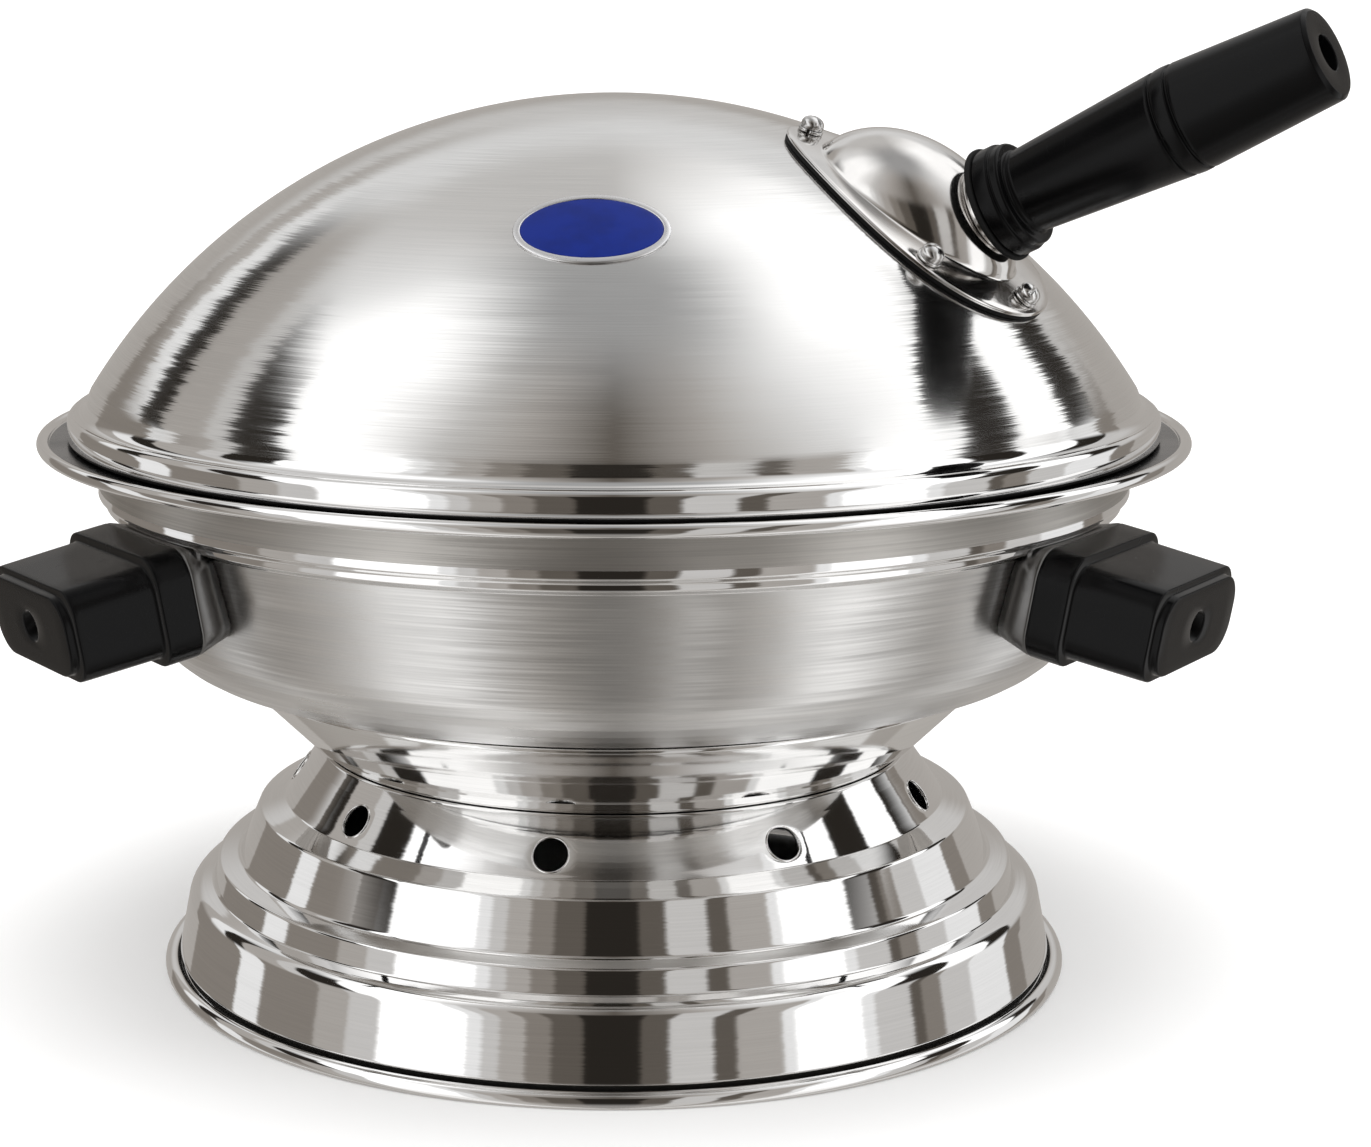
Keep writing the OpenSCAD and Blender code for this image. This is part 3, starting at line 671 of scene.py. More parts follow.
class Surface:
    """The points and faces of one piece."""

    def __init__(self) -> None:
        """Starts with no points."""
        self.points: list[Vector] = []
        self.faces: list[tuple[int, ...]] = []
        self.parts: list[int] = []

    def ring(self, points: Iterable[Vector]) -> list[int]:
        """Adds points and returns their numbers."""
        first = len(self.points)
        self.points.extend(points)
        return list(range(first, len(self.points)))

    def bridge(self, a: Sequence[int], b: Sequence[int], part: int = 0,
               skip: Callable[[int], bool] | None = None) -> None:
        """Joins two closed rings by faces.

        Args:
            a: One ring's numbers, or one number for a pole.
            b: The other ring's.
            part: Which of the piece's finishes the faces take.
            skip: Says which columns stay open.
        """
        count = max(len(a), len(b))
        for k in range(count):
            if skip is not None and skip(k):
                continue
            n = (k + 1) % count
            if len(a) == 1:
                face = (a[0], b[n], b[k])
            elif len(b) == 1:
                face = (a[k], a[n], b[0])
            else:
                face = (a[k], a[n], b[n], b[k])
            self.faces.append(face)
            self.parts.append(part)

    def piece(self, name: str, finishes: Sequence[Finish] = (), place: Matrix | None = None) -> Piece:
        """Makes the mesh object.

        Args:
            name: The piece's name.
            finishes: Its finishes, in the order of the parts' numbers.
            place: Where the points go, in millimetres.

        Returns:
            The object, with its place in its mesh.
        """
        mesh = bpy.data.meshes.new(name)
        moved = [(place @ p if place else p) * MM for p in self.points]
        mesh.from_pydata(moved, [], self.faces)
        mesh.polygons.foreach_set("material_index", self.parts)
        work = bmesh.new()
        work.from_mesh(mesh)
        bmesh.ops.remove_doubles(work, verts=work.verts, dist=WELD)
        bmesh.ops.recalc_face_normals(work, faces=work.faces)
        for face in work.faces:
            face.smooth = True
        work.to_mesh(mesh)
        work.free()
        for finish in finishes:
            mesh.materials.append(finish.material())
        return linked(name, mesh)


def lofted(name: str, rings: Sequence[Ring], finishes: Sequence[Finish] = (), place: Matrix | None = None,
           looped: bool = False, part_of: Callable[[int], int] | None = None) -> Piece:
    """Makes a piece from rings.

    Args:
        name: The piece's name.
        rings: Its rings in order, of equal counts apart from poles.
        finishes: Its finishes.
        place: Where the points go, in millimetres.
        looped: Whether the last ring joins the first.
        part_of: Gives the number of the finish after each ring.

    Returns:
        The object.
    """
    surface = Surface()
    numbers = [surface.ring(r) for r in rings]
    after = [*numbers[1:], numbers[0]] if looped else numbers[1:]
    for i, (a, b) in enumerate(zip(numbers, after)):
        if len(a) > 1 or len(b) > 1:
            surface.bridge(a, b, part_of(i) if part_of else 0)
    return surface.piece(name, finishes, place)


def settle(piece: Piece, body: Body, slot: Slot, *nodes: str) -> Piece:
    """Puts a finished piece on its body.

    Args:
        piece: The piece.
        body: The body that carries it.
        slot: The record's slot of its finish; not used.
        nodes: The solids that it stands for.

    Returns:
        The piece.
    """
    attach(piece, body.value)
    if nodes:
        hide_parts(*nodes)
    log.info("%s: %d faces on %s", piece.name, len(piece.data.polygons), body.value)
    return piece


# Repeated pieces, made by Geometry Nodes


class GrowthTree:
    """A Geometry Nodes tree with named inputs, run once and turned into a plain mesh."""

    def __init__(self, name: str, inputs: dict[str, str]) -> None:
        """Starts a tree.

        Args:
            name: The tree's name.
            inputs: The last word of the socket type of each named input after the geometry.
        """
        self.tree = bpy.data.node_groups.new(name, "GeometryNodeTree")
        self.space = NodeSpace(self.tree)
        face = self.tree.interface
        face.new_socket("Geometry", in_out="INPUT", socket_type="NodeSocketGeometry")
        self.sockets = {}
        for key, kind in inputs.items():
            socket = face.new_socket(key, in_out="INPUT", socket_type="NodeSocket" + kind)
            self.sockets[key] = socket.identifier
        face.new_socket("Geometry", in_out="OUTPUT", socket_type="NodeSocketGeometry")
        self.source = self.space.add("NodeGroupInput")

    def given(self, name: str) -> Value:
        """Returns one of the tree's inputs."""
        return Value(self.space, self.source.outputs[name])

    def close(self, geometry: Value) -> None:
        """Realizes the geometry, sets its finish and ends the tree."""
        space = self.space
        real = space.out("GeometryNodeRealizeInstances", values={0: geometry})
        smooth = space.out("GeometryNodeSetShadeSmooth", values={0: real})
        dressed = space.out("GeometryNodeSetMaterial", values={0: smooth, "Material": self.given("Finish")})
        space.add("NodeGroupOutput", values={0: dressed})

    def grow(self, name: str, seed_mesh: bpy.types.Mesh, **given: Any) -> Piece:
        """Runs the tree.

        Args:
            name: The piece's name.
            seed_mesh: The mesh that the tree starts from.
            given: The named inputs' values.

        Returns:
            A plain mesh object with no modifier.
        """
        seed = linked(name + "_seed", seed_mesh)
        modifier = seed.modifiers.new("growth", "NODES")
        modifier.node_group = self.tree
        for key, value in given.items():
            modifier[self.sockets[key]] = value
        mesh = finished_mesh(seed)
        mesh.name = name
        seed.modifiers.remove(modifier)
        bpy.data.objects.remove(seed)
        return linked(name, mesh)


class CopyTree(GrowthTree):
    """Stands copies of a shape on points, each along the point's own axis and turned at random."""

    AXIS = "axis"
    SEED = 7

    def __init__(self) -> None:
        """Builds the tree."""
        super().__init__("copies_on_points", {
            "Shape": "Object", "Size": "Float",
            "Turn": "Float", "Finish": "Material",
        })
        space = self.space
        source = {"Object": self.given("Shape")}
        shape = space.out("GeometryNodeObjectInfo", values=source, output="Geometry")
        named = {"Name": self.AXIS}
        axis = space.out("GeometryNodeInputNamedAttribute", {"data_type": "FLOAT_VECTOR"}, named)
        stood = space.out("FunctionNodeAlignRotationToVector", {"axis": "Z"}, {"Vector": axis})
        chance = space.add("FunctionNodeRandomValue", {"data_type": "FLOAT"}, {"Seed": self.SEED})
        for socket in chance.inputs:
            if socket.name == "Max" and socket.type == "VALUE":
                space.tree.links.new(self.given("Turn").socket, socket)
        number = next(o for o in chance.outputs if o.enabled)
        spun = space.out("FunctionNodeAxisAngleToRotation", values={
            "Axis": (0, 0, 1), "Angle": Value(space, number),
        })
        way = space.out("FunctionNodeRotateRotation", {"rotation_space": "LOCAL"}, {0: stood, 1: spun})
        copies = space.out("GeometryNodeInstanceOnPoints", values={
            "Points": self.given("Geometry"), "Instance": shape,
            "Rotation": way, "Scale": self.given("Size"),
        })
        self.close(copies)

    def stand(self, name: str, shape: Piece, places: Sequence[Matrix], finish: Finish,
              turn: float = 0.0) -> Piece:
        """Stands copies at places.

        Args:
            name: The piece's name.
            shape: The shape, with local +Z as its axis, which is used up.
            places: Where the copies go, in millimetres.
            finish: Their finish.
            turn: The most that a copy is turned about its axis, in radians.

        Returns:
            The copies as one piece.
        """
        points = bpy.data.meshes.new(name + "_points")
        points.from_pydata([p.translation * MM for p in places], [], [])
        axes = points.attributes.new(self.AXIS, "FLOAT_VECTOR", "POINT")
        for item, place in zip(axes.data, places):
            item.vector = place.col[2].xyz
        made = self.grow(name, points, Shape=shape, Size=1.0, Turn=turn, Finish=finish.material())
        bpy.data.objects.remove(shape)
        return made


class WireTree(GrowthTree):
    """Lays parallel wires across a round rim, each cut to its chord."""

    SIDES = 16

    def __init__(self) -> None:
        """Builds the tree."""
        super().__init__("wires_across_a_rim", {
            "Count": "Int", "Reach": "Float", "Rim": "Float",
            "Height": "Float", "Wire": "Float", "Finish": "Material",
        })
        space = self.space
        count, reach, rim = self.given("Count"), self.given("Reach"), self.given("Rim")
        first = space.join(0.0 - reach, 0.0, self.given("Height"))
        pitch = space.join(reach * 2.0 / (count - 1.0), 0.0, 0.0)
        row = space.out("GeometryNodeMeshLine", values={
            "Count": count, "Start Location": first, "Offset": pitch,
        })
        across, _, _ = space.split(space.out("GeometryNodeInputPosition"))
        half = (rim * rim - across * across) ** 0.5
        bar = space.out("GeometryNodeCurvePrimitiveLine", values={"Start": (0, -1, 0), "End": (0, 1, 0)})
        bars = space.out("GeometryNodeInstanceOnPoints", values={
            "Points": row, "Instance": bar, "Scale": space.join(1.0, half, 1.0),
        })
        lines = space.out("GeometryNodeRealizeInstances", values={0: bars})
        section = space.out("GeometryNodeCurvePrimitiveCircle", {"mode": "RADIUS"}, {
            "Resolution": self.SIDES, "Radius": self.given("Wire"),
        })
        solid = space.out("GeometryNodeCurveToMesh", values={
            "Curve": lines, "Profile Curve": section, "Fill Caps": True,
        })
        self.close(solid)


# Sub-assemblies


@dataclass(frozen=True)
class Levels:
    """Heights and radii that the sub-assemblies share."""

    sheet: float = 1.0
    base_top: float = 65.3
    throat_r: float = 84.2
    lip_r: float = 86.6
    floor: float = 91.1
    floor_r: float = 109.0
    channel: float = 156.5
    mouth_r: float = 148.0
    dome_r: float = 177.2

    @property
    def dome_z(self) -> float:
        """Height of the middle of the dome's sphere, from the frame."""
        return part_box("lid_dome")[1].z / MM - self.dome_r

    def on_dome(self, azimuth: float, polar: float, across: float = 0.0) -> Matrix:
        """Returns the frame at the sphere's middle with +Z to a place on the dome and +X downhill."""
        down = Matrix.Rotation(radians(polar), 4, "Y") @ Matrix.Rotation(radians(-across), 4, "X")
        return raised(self.dome_z) @ outward(azimuth) @ down

    def lifted(self, flat: Vector, lift: float) -> Vector:
        """Returns the point over a flat place of an on_dome() frame, at a height over the dome."""
        reach = self.dome_r + lift
        return Vector((flat.x, flat.y, sqrt(reach**2 - flat.length_squared)))


LEVELS = Levels()


def dished(outer: Sequence[Vector]) -> list[Vector]:
    """Gives a sheet its inner face.

    Args:
        outer: The outer face's points, which end on the axis.

    Returns:
        The points of both faces.
    """
    inner = inner_side(outer, LEVELS.sheet, Vector((-1.0, 0.0)))
    inner[-1].x = 0.0
    return [*outer, *reversed(inner)]


@dataclass
class BaseStand:
    """The stepped stand with its vents and rolled foot."""

    skirt_r: float = 129.6
    skirt_h: float = 24.6
    foot_bead_r: float = 2.4
    foot_z: float = 2.0
    crevice_h: float = 1.8
    lip_turn: float = 4.8
    vent_count: int = 9
    vent_d: float = 9.5
    vent_start: float = -10.5
    vent_margin: float = 0.45
    rim_r: float = 0.27
    rim_out: float = 0.22
    rim_sink: float = 0.02
    bead_steps: int = 32
    columns: int = 324
    window: int = 7
    rows: int = 8

    NECK_CORNER = 7
    INSIDE_BANDS = 4

    def corners(self) -> list[Corner]:
        """Returns the outer face from the skirt's foot to the turned-down edge of the lip."""
        return [
            Corner(self.skirt_r - 1.7, self.foot_z + 0.4),
            Corner(self.skirt_r - 0.6, self.foot_z + 3.6, 1.5),
            Corner(125.2, self.skirt_h, 5.0),
            Corner(118.8, 26.0, 0.7),
            Corner(117.1, 32.6, 1.0),
            Corner(110.8, 33.4, 1.5),
            Corner(104.8, 47.6, 1.4),
            Corner(97.0, 50.3, 1.0),
            Corner(89.1, 61.3, 0.5),
            Corner(LEVELS.lip_r - 0.3, LEVELS.base_top, 1.2),
            Corner(LEVELS.throat_r, LEVELS.base_top, 1.1),
            Corner(LEVELS.throat_r, LEVELS.base_top - self.lip_turn),
        ]

    def build(self, copies: CopyTree) -> list[Piece]:
        """Builds the stand and the rims of its vents.

        Args:
            copies: The tree that repeats the rims.

        Returns:
            The pieces.
        """
        raw = rounded(self.corners())
        at = self.NECK_CORNER * (ARC_STEPS + 1)
        foot, top = raw[at], raw[at + 1]
        lower = eased(raw[: at + 1])
        neck = [foot.lerp(top, k / self.rows) for k in range(1, self.rows)]
        outer = [*lower, *neck, *eased(raw[at + 1 :])]
        meets, bead = self._foot_bead(outer)
        outline = [*outer[meets:], *reversed(inner_side(outer, LEVELS.sheet)), *bead]
        surface = Surface()
        rings = [surface.ring(r) for r in spin(outline, self.columns, self.vent_start)]
        inside = len(outer) - meets
        low_out = len(lower) - 1 - meets
        low_in = inside + len(outer) - len(lower)
        outer_rows = rings[low_out : low_out + self.rows + 1]
        inner_rows = rings[low_in - self.rows : low_in + 1][::-1]
        spacing = self.columns // self.vent_count

        def in_window(column: int) -> bool:
            """Tells whether a column of faces lies in a vent's window."""
            return (column + self.window) % spacing < 2 * self.window

        for i, ring in enumerate(rings):
            open_band = low_out <= i < low_out + self.rows or low_in - self.rows <= i < low_in
            # The inner face and the crevice just over the foot bead take the near-black steel: painted
            # shade.
            crevice = i < inside and outline[i].y < self.foot_z + self.crevice_h
            part = int(crevice or inside <= i < inside + len(outer) - 1)
            surface.bridge(ring, rings[(i + 1) % len(rings)], part, in_window if open_band else None)
        places = []
        for vent in range(self.vent_count):
            places.append(self._vent(surface, vent * spacing, foot, top, outer_rows, inner_rows))
        stand = surface.piece("base_stand_shell", [POLISHED, PAINTED_SHADE_STEEL])
        rim_middle = Vector((self.vent_d / 2 + self.rim_out, -self.rim_sink))
        section = bead_arc(rim_middle, self.rim_r, 0.0, 360.0, 8)
        rim = lofted("vent_rim_shape", spin(section[:-1], 40), looped=True)
        rims = copies.stand("vent_rims", rim, places, POLISHED)
        return [
            settle(stand, Body.BASE, Slot.POLISHED, "base_stand"),
            settle(rims, Body.BASE, Slot.POLISHED),
        ]

    def _foot_bead(self, outer: Sequence[Vector]) -> tuple[int, list[Vector]]:
        """Rolls the skirt's foot.

        Args:
            outer: The outer face's points, from the foot up.

        Returns:
            The number of the first of them outside the bead, and the bead's points between the faces.
        """
        centre = Vector((self.skirt_r + self.foot_bead_r - LEVELS.sheet, self.foot_z))
        meets = next(i for i, p in enumerate(outer) if (p - centre).length > self.foot_bead_r)
        way = outer[meets] - centre
        end = 360.0 + degrees(atan2(way.y, way.x))
        bead = bead_arc(centre, self.foot_bead_r, 180.0, end, self.bead_steps)[1:-1]
        for point in bead:
            point.y = max(point.y, 0.0)
        return meets, bead

    def _vent(self, surface: Surface, column: int, foot: Vector, top: Vector, outer_rows: list[list[int]],
              inner_rows: list[list[int]]) -> Matrix:
        """Fills one vent's window with faces round a hole through the sheet.

        Args:
            surface: The stand's surface.
            column: The column at the vent's middle.
            foot: The lower end of the neck's straight.
            top: Its upper end.
            outer_rows: The outer face's rings across the straight, from below.
            inner_rows: The inner face's.

        Returns:
            The vent's place, with +Z out of the neck.
        """
        height = (top - foot).length
        way = (top - foot) / height
        middle = foot.lerp(top, 0.5)
        out_way = Vector((way.y, -way.x))
        step = radians(360.0 / self.columns)
        azimuth = radians(self.vent_start) + column * step
        half = self.rows // 2
        edge = [(self.window, row) for row in range(half, self.rows)]
        edge += [(col, self.rows) for col in range(self.window, -self.window, -1)]
        edge += [(-self.window, row) for row in range(self.rows, 0, -1)]
        edge += [(col, 0) for col in range(-self.window, self.window)]
        edge += [(self.window, row) for row in range(0, half)]

        def on_neck(u: float, v: float, depth: float) -> Vector:
            """Returns the point at a place on the neck's face and a depth below it."""
            flat = middle + way * v - out_way * depth
            angle = azimuth + u / (middle.x + way.x * v)
            return Vector((flat.x * sin(angle), -flat.x * cos(angle), flat.y))

        edge_places = []
        for col, row in edge:
            v = (row / self.rows - 0.5) * height
            edge_places.append(Vector((col * step * (middle.x + way.x * v), v, 0.0)))

        def between(share: float, radius: float, depth: float) -> list[int]:
            """Adds a ring between the window's edge and a circle."""
            flat = [e.lerp(c * radius, share) for e, c in zip(edge_places, circle(len(edge)))]
            return surface.ring(on_neck(p.x, p.y, depth) for p in flat)

        radius = self.vent_d / 2
        sheet = LEVELS.sheet
        wide = radius + self.vent_margin
        rounding = ((0.3, 0.02), (0.14, 0.1), (0.04, 0.24), (0.0, 0.42), (0.0, sheet - 0.2), (0.12, sheet))
        outside, inside = (
            [rows[row][(column + col) % self.columns] for col, row in edge]
            for rows in (outer_rows, inner_rows)
        )
        rings = [outside, *(between(share, wide, 0.0) for share in (0.35, 0.7, 1.0))]
        rings += [between(1.0, radius + more, depth) for more, depth in rounding]
        rings += [*(between(share, wide, sheet) for share in (0.7, 0.35)), inside]
        bands = list(zip(rings, rings[1:]))
        # The bands on the bore's inner half take the near-black steel: painted shade inside the vent.
        for k, (a, b) in enumerate(bands):
            surface.bridge(a, b, int(k >= len(bands) - self.INSIDE_BANDS))
        turn = Matrix.Rotation(atan2(out_way.x, out_way.y), 4, "Y")
        return outward(degrees(azimuth)) @ raised(middle.y, middle.x) @ turn


@dataclass
class Bowl:
    """The bowl with its lid channel and rolled rim, and the collar that it stands on."""

    flame_r: float = 48.0
    flame_lip: float = 6.0
    corner_r: float = 133.0
    corner_h: float = 4.0
    wall_top_r: float = 144.0
    wall_top: float = 138.7
    band_foot: float = 144.1
    rim_r: float = 163.17
    rim_bead_r: float = 1.8
    seat_r: float = 150.0
    collar_foot_r: float = 88.0
    collar_flange: float = 9.0
    collar_fold: float = 2.0
    spigot_h: float = 7.0
    gap: float = 0.3
    columns: int = 288

    @property
    def seat(self) -> float:
        """Height of the collar's shoulder over the stand's lip."""
        return LEVELS.base_top + self.gap

    def corners(self) -> list[Corner]:
        """Returns the outer face from the flame opening to the channel's outer edge."""
        return [
            Corner(self.flame_r, LEVELS.floor + self.flame_lip),
            Corner(self.flame_r, LEVELS.floor, 1.8),
            Corner(LEVELS.floor_r, LEVELS.floor, 1.8),
            Corner(self.corner_r, LEVELS.floor + self.corner_h, 22.0),
            Corner(self.wall_top_r - 0.3, self.wall_top - 0.8, 0.7),
            Corner(self.wall_top_r + 2.3, self.wall_top + 0.5, 0.8),
            Corner(self.wall_top_r + 1.9, self.wall_top + 2.3, 0.6),
            Corner(LEVELS.mouth_r + 0.3, self.wall_top + 3.8, 0.8),
            Corner(LEVELS.mouth_r, self.band_foot + 0.7, 1.0),
            Corner(LEVELS.mouth_r, LEVELS.channel, 1.5),
            Corner(self.rim_r - self.rim_bead_r * cos(radians(30)), LEVELS.channel),
        ]

    def collar_corners(self) -> list[Corner]:
        """Returns the collar's outer face from its spigot up to the bowl's floor."""
        spigot_r = LEVELS.throat_r - self.gap
        return [
            Corner(spigot_r, self.seat - self.spigot_h),
            Corner(spigot_r, self.seat, 0.8),
            Corner(spigot_r + 1.4, self.seat, 0.3),
            Corner(self.collar_foot_r - 0.4, self.seat + 1.7, 0.5),
            Corner(self.collar_foot_r + 2.6, self.seat + 4.0, 1.0),
            Corner(LEVELS.floor_r + 0.6, LEVELS.floor - 2.6, 0.6),
            Corner(LEVELS.floor_r + 2.0, LEVELS.floor - 2.2, 0.5),
            Corner(LEVELS.floor_r + 2.0, LEVELS.floor - 1.0, 0.5),
            Corner(LEVELS.floor_r + 0.6, LEVELS.floor - 0.9, 0.2),
            Corner(LEVELS.floor_r + 0.6, LEVELS.floor - 0.05),
        ]

    def build(self) -> list[Piece]:
        """Builds the bowl and its collar.

        Returns:
            The pieces.
        """
        outer = eased(rounded(self.corners()))
        inner = inner_side(outer, LEVELS.sheet)
        centre = Vector((self.rim_r, LEVELS.channel + self.rim_bead_r / 2))
        bead = bead_arc(centre, self.rim_bead_r, 210.0, 360.0 + 176.8)
        outline = [*outer[:-1], *bead, *reversed(inner[:-1])]
        dressed = [POLISHED, WALL, SHADED_BAND, PRESSED]
        polished, brushed, band, dark = range(len(dressed))

        def part_of(i: int) -> int:
            """Gives the wall, the band over it, the inner face and the channel their finishes: the band's
            darker steel is painted shade under the rim, and the channel's dark steel is painted shade under
            the lid's bead.
            """
            point = outline[i]
            if i >= len(outer) + len(bead) - 1:
                # The channel floor round the lid's bead takes the dull dark steel: painted shade of the
                # crevice.
                return dark if point.y > LEVELS.channel and point.x > self.seat_r else brushed
            if point.x > LEVELS.floor_r + 1.0 and point.y < self.wall_top - 1.0:
                return brushed
            # The band's darker steel is painted shade under the rim's overhang.
            return band if self.band_foot + 0.5 < point.y < LEVELS.channel - 1.2 else polished

        bowl = lofted("bowl_shell", spin(outline, self.columns), dressed, looped=True, part_of=part_of)
        return [
            settle(bowl, Body.BOWL, Slot.BRUSHED, "bowl"),
            settle(self._collar(), Body.BOWL, Slot.POLISHED, "bowl_collar"),
        ]

    def _collar(self) -> Piece:
        """Makes the collar with its flange under the floor.

        Returns:
            The piece.
        """
        outer = eased(rounded(self.collar_corners()))
        inner = inner_side(outer, LEVELS.sheet)
        flange_in = LEVELS.floor_r - self.collar_flange
        under = LEVELS.floor - LEVELS.sheet
        below = [p for p in inner if p.y < under - self.collar_fold]
        flange = [Vector((flange_in, LEVELS.floor)), Vector((flange_in, under))]
        outline = [*outer, *flange, *reversed(below)]

        def part_of(i: int) -> int:
            """Keeps the polish to the face between the stand and the floor; the spigot, the inner face and
            the flange take the near-black steel, which is painted shade.
            """
            return int(i >= len(outer) or not self.seat - 0.4 < outline[i].y < LEVELS.floor - 0.8)

        rings = spin(outline, self.columns)
        return lofted("bowl_collar_shell", rings, [COLLAR, PAINTED_SHADE_STEEL], looped=True, part_of=part_of)


@dataclass
class SideHandles:
    """The two side grips with their brackets."""

    azimuth: float = 56.4
    z: float = 126.7
    face: float = 147.57
    droop: float = 10.0
    block_w: float = 56.0
    block_h: float = 30.0
    block_t: float = 9.8
    grip_len: float = 25.2
    step: float = 2.2
    end_step: float = 2.0
    end_lip: float = 2.4
    round: float = 8.0
    hole_d: float = 8.4
    hole_h: float = 12.0
    bracket_taper: float = 2.4
    bracket_wall: float = 0.8
    wall_gap: float = 0.15
    arc: int = 9
    straight: int = 5

    def place(self, side: int) -> Matrix:
        """Returns the frame of a grip: +Z outward from the axis, +X down, for side -1 or 1."""
        return outward(self.azimuth * side) @ self.tilted()

    def tilted(self) -> Matrix:
        """Returns a grip's frame before it is turned to its azimuth."""
        turn = Matrix.Rotation(radians(90.0 + self.droop), 4, "Y")
        return raised(self.z, self.face) @ turn @ raised(-self.face)

    def outline(self, inset: float, corner: float, z: float) -> Ring:
        """Draws the block's rounded rectangle, its width along local Y.

        Args:
            inset: How far it is drawn in.
            corner: Its corner radius.
            z: Its place along the grip, from the block's back.

        Returns:
            Its points, as many for any size.
        """
        x, y = self.block_h / 2 - inset - corner, self.block_w / 2 - inset - corner
        arcs = []
        for quarter, (sx, sy) in enumerate(((1, 1), (-1, 1), (-1, -1), (1, -1))):
            arc = bead_arc(Vector((sx * x, sy * y)), corner, 90.0 * quarter, 90.0 * (quarter + 1), self.arc)
            arcs.append([Vector((p.x, p.y, self.face + z)) for p in arc])
        ring: Ring = []
        for arc, after in zip(arcs, [*arcs[1:], arcs[0]]):
            ring += arc
            ring += [arc[-1].lerp(after[0], k / self.straight) for k in range(1, self.straight)]
        return ring

    def stations(self) -> list[Ring]:
        """Draws the outlines along a grip.

        Returns:
            The rings, from the grip's back to its end face.
        """
        rings: list[Ring] = []

        def section(z: float, inset: float, corner: float) -> None:
            """Adds the outline at a place."""
            rings.append(self.outline(inset, corner, z))

        def edge(z: float, inset: float, corner: float, radius: float, forward: bool = True) -> None:
            """Adds a rounded outer edge that turns in over its radius at a place."""
            for k in range(6):
                a = radians(18.0 * k)
                rise, run = radius * (1 - sin(a)), radius * (1 - cos(a))
                if forward:
                    section(z - rise, inset + run, corner)
                else:
                    section(z + run, inset + rise, corner)

        grip_round = self.round - self.step / 2
        end_round = grip_round + 1.2
        end = self.block_t + self.grip_len
        lip = end - self.end_lip
        edge(0.0, 0.0, self.round, 0.5, forward=False)
        section(1.0, 0.0, self.round)
        section(self.block_t - 1.6, 0.0, self.round)
        edge(self.block_t, 0.0, self.round, 0.5)
        for z, inset in ((0.0, -0.45), (0.1, -0.15), (0.5, 0.0), (1.2, 0.02)):
            section(self.block_t + z, self.step + inset, grip_round)
        section(lip - 1.6, self.step + 0.25, grip_round)
        edge(lip, self.step + 0.3, grip_round, 0.45)
        lip_inset = self.step + self.end_step
        for z, inset in ((0.0, -0.35), (0.12, -0.1), (0.45, 0.0)):
            section(lip + z, lip_inset + inset, end_round)
        section(end - 1.4, lip_inset, end_round)
        edge(end, lip_inset, end_round, 0.5)
        return rings

    def build(self) -> list[Piece]:
        """Builds both sides.

        Returns:
            The pieces.
        """
        pieces = []
        for side, name in ((-1, "left"), (1, "right")):
            place = self.place(side)
            grip = lofted(f"side_grip_{name}_moulding", self._grip(), [MOULDED], place)
            grip.visible_glossy = False
            bracket = lofted(f"side_bracket_{name}_plate", self._bracket(), [PLATE], place)
            pieces.append(settle(grip, Body.BOWL, Slot.MOULDED, f"side_grip_{name}"))
            pieces.append(settle(bracket, Body.BOWL, Slot.PRESSED, f"side_bracket_{name}"))
        return pieces

    def _grip(self) -> list[Ring]:
        """Draws one grip with the screw hole in its end.

        Returns:
            The grip's rings.
        """
        rings = self.stations()
        last = rings[-1]
        end = last[0].z
        radius = self.hole_d / 2

        def hole(wider: float, depth: float) -> Ring:
            """Returns a circle round the screw's axis."""
            return [c * (radius + wider) + Vector((0, 0, end - depth)) for c in circle(len(last))]

        mouth = hole(0.5, 0.0)
        rings += [[a.lerp(b, share) for a, b in zip(last, mouth)] for share in (0.3, 0.7, 1.0)]
        rings += [hole(0.15, 0.1), hole(0.0, 0.45), hole(0.0, self.hole_h)]
        return [pole(self.face), *rings, pole(end - self.hole_h)]

    def _bracket(self) -> list[Ring]:
        """Draws the pressed dish between the wall and a grip, cut to the wall.

        Returns:
            The dish's rings.
        """
        front = ((1.2, self.round - 1.0, 0.0), (0.45, self.round, -0.15), (0.1, self.round, -0.6))
        rings = [self.outline(*shape) for shape in front]
        taper, corner = self.bracket_taper, self.round - self.bracket_taper
        inside = taper + self.bracket_wall
        rest = self._on_wall(self.outline(taper, corner, 0.0))
        rings.append([a.lerp(b, 0.5) for a, b in zip(rings[-1], rest)])
        rings += [rest, self._on_wall(self.outline(inside, corner - 0.5, 0.0))]
        rings.append(self.outline(inside, corner - 0.5, -LEVELS.sheet))
        return [pole(self.face), *rings, pole(self.face - LEVELS.sheet)]

    def _on_wall(self, ring: Ring) -> Ring:
        """Moves points of a grip's frame along +Z on to the bowl's wall.

        Args:
            ring: The points.

        Returns:
            The moved points, just off the wall.
        """
        bowl = Bowl()
        tilt = self.tilted()
        low = LEVELS.floor + bowl.corner_h
        slope = (bowl.wall_top_r - bowl.corner_r) / (bowl.wall_top - low)
        moved = [point.copy() for point in ring]
        for point in moved:
            for _ in range(10):
                spot = tilt @ point
                wall_r = bowl.corner_r + slope * (spot.z - low)
                point.z += wall_r + self.wall_gap - hypot(spot.x, spot.y)
        return moved


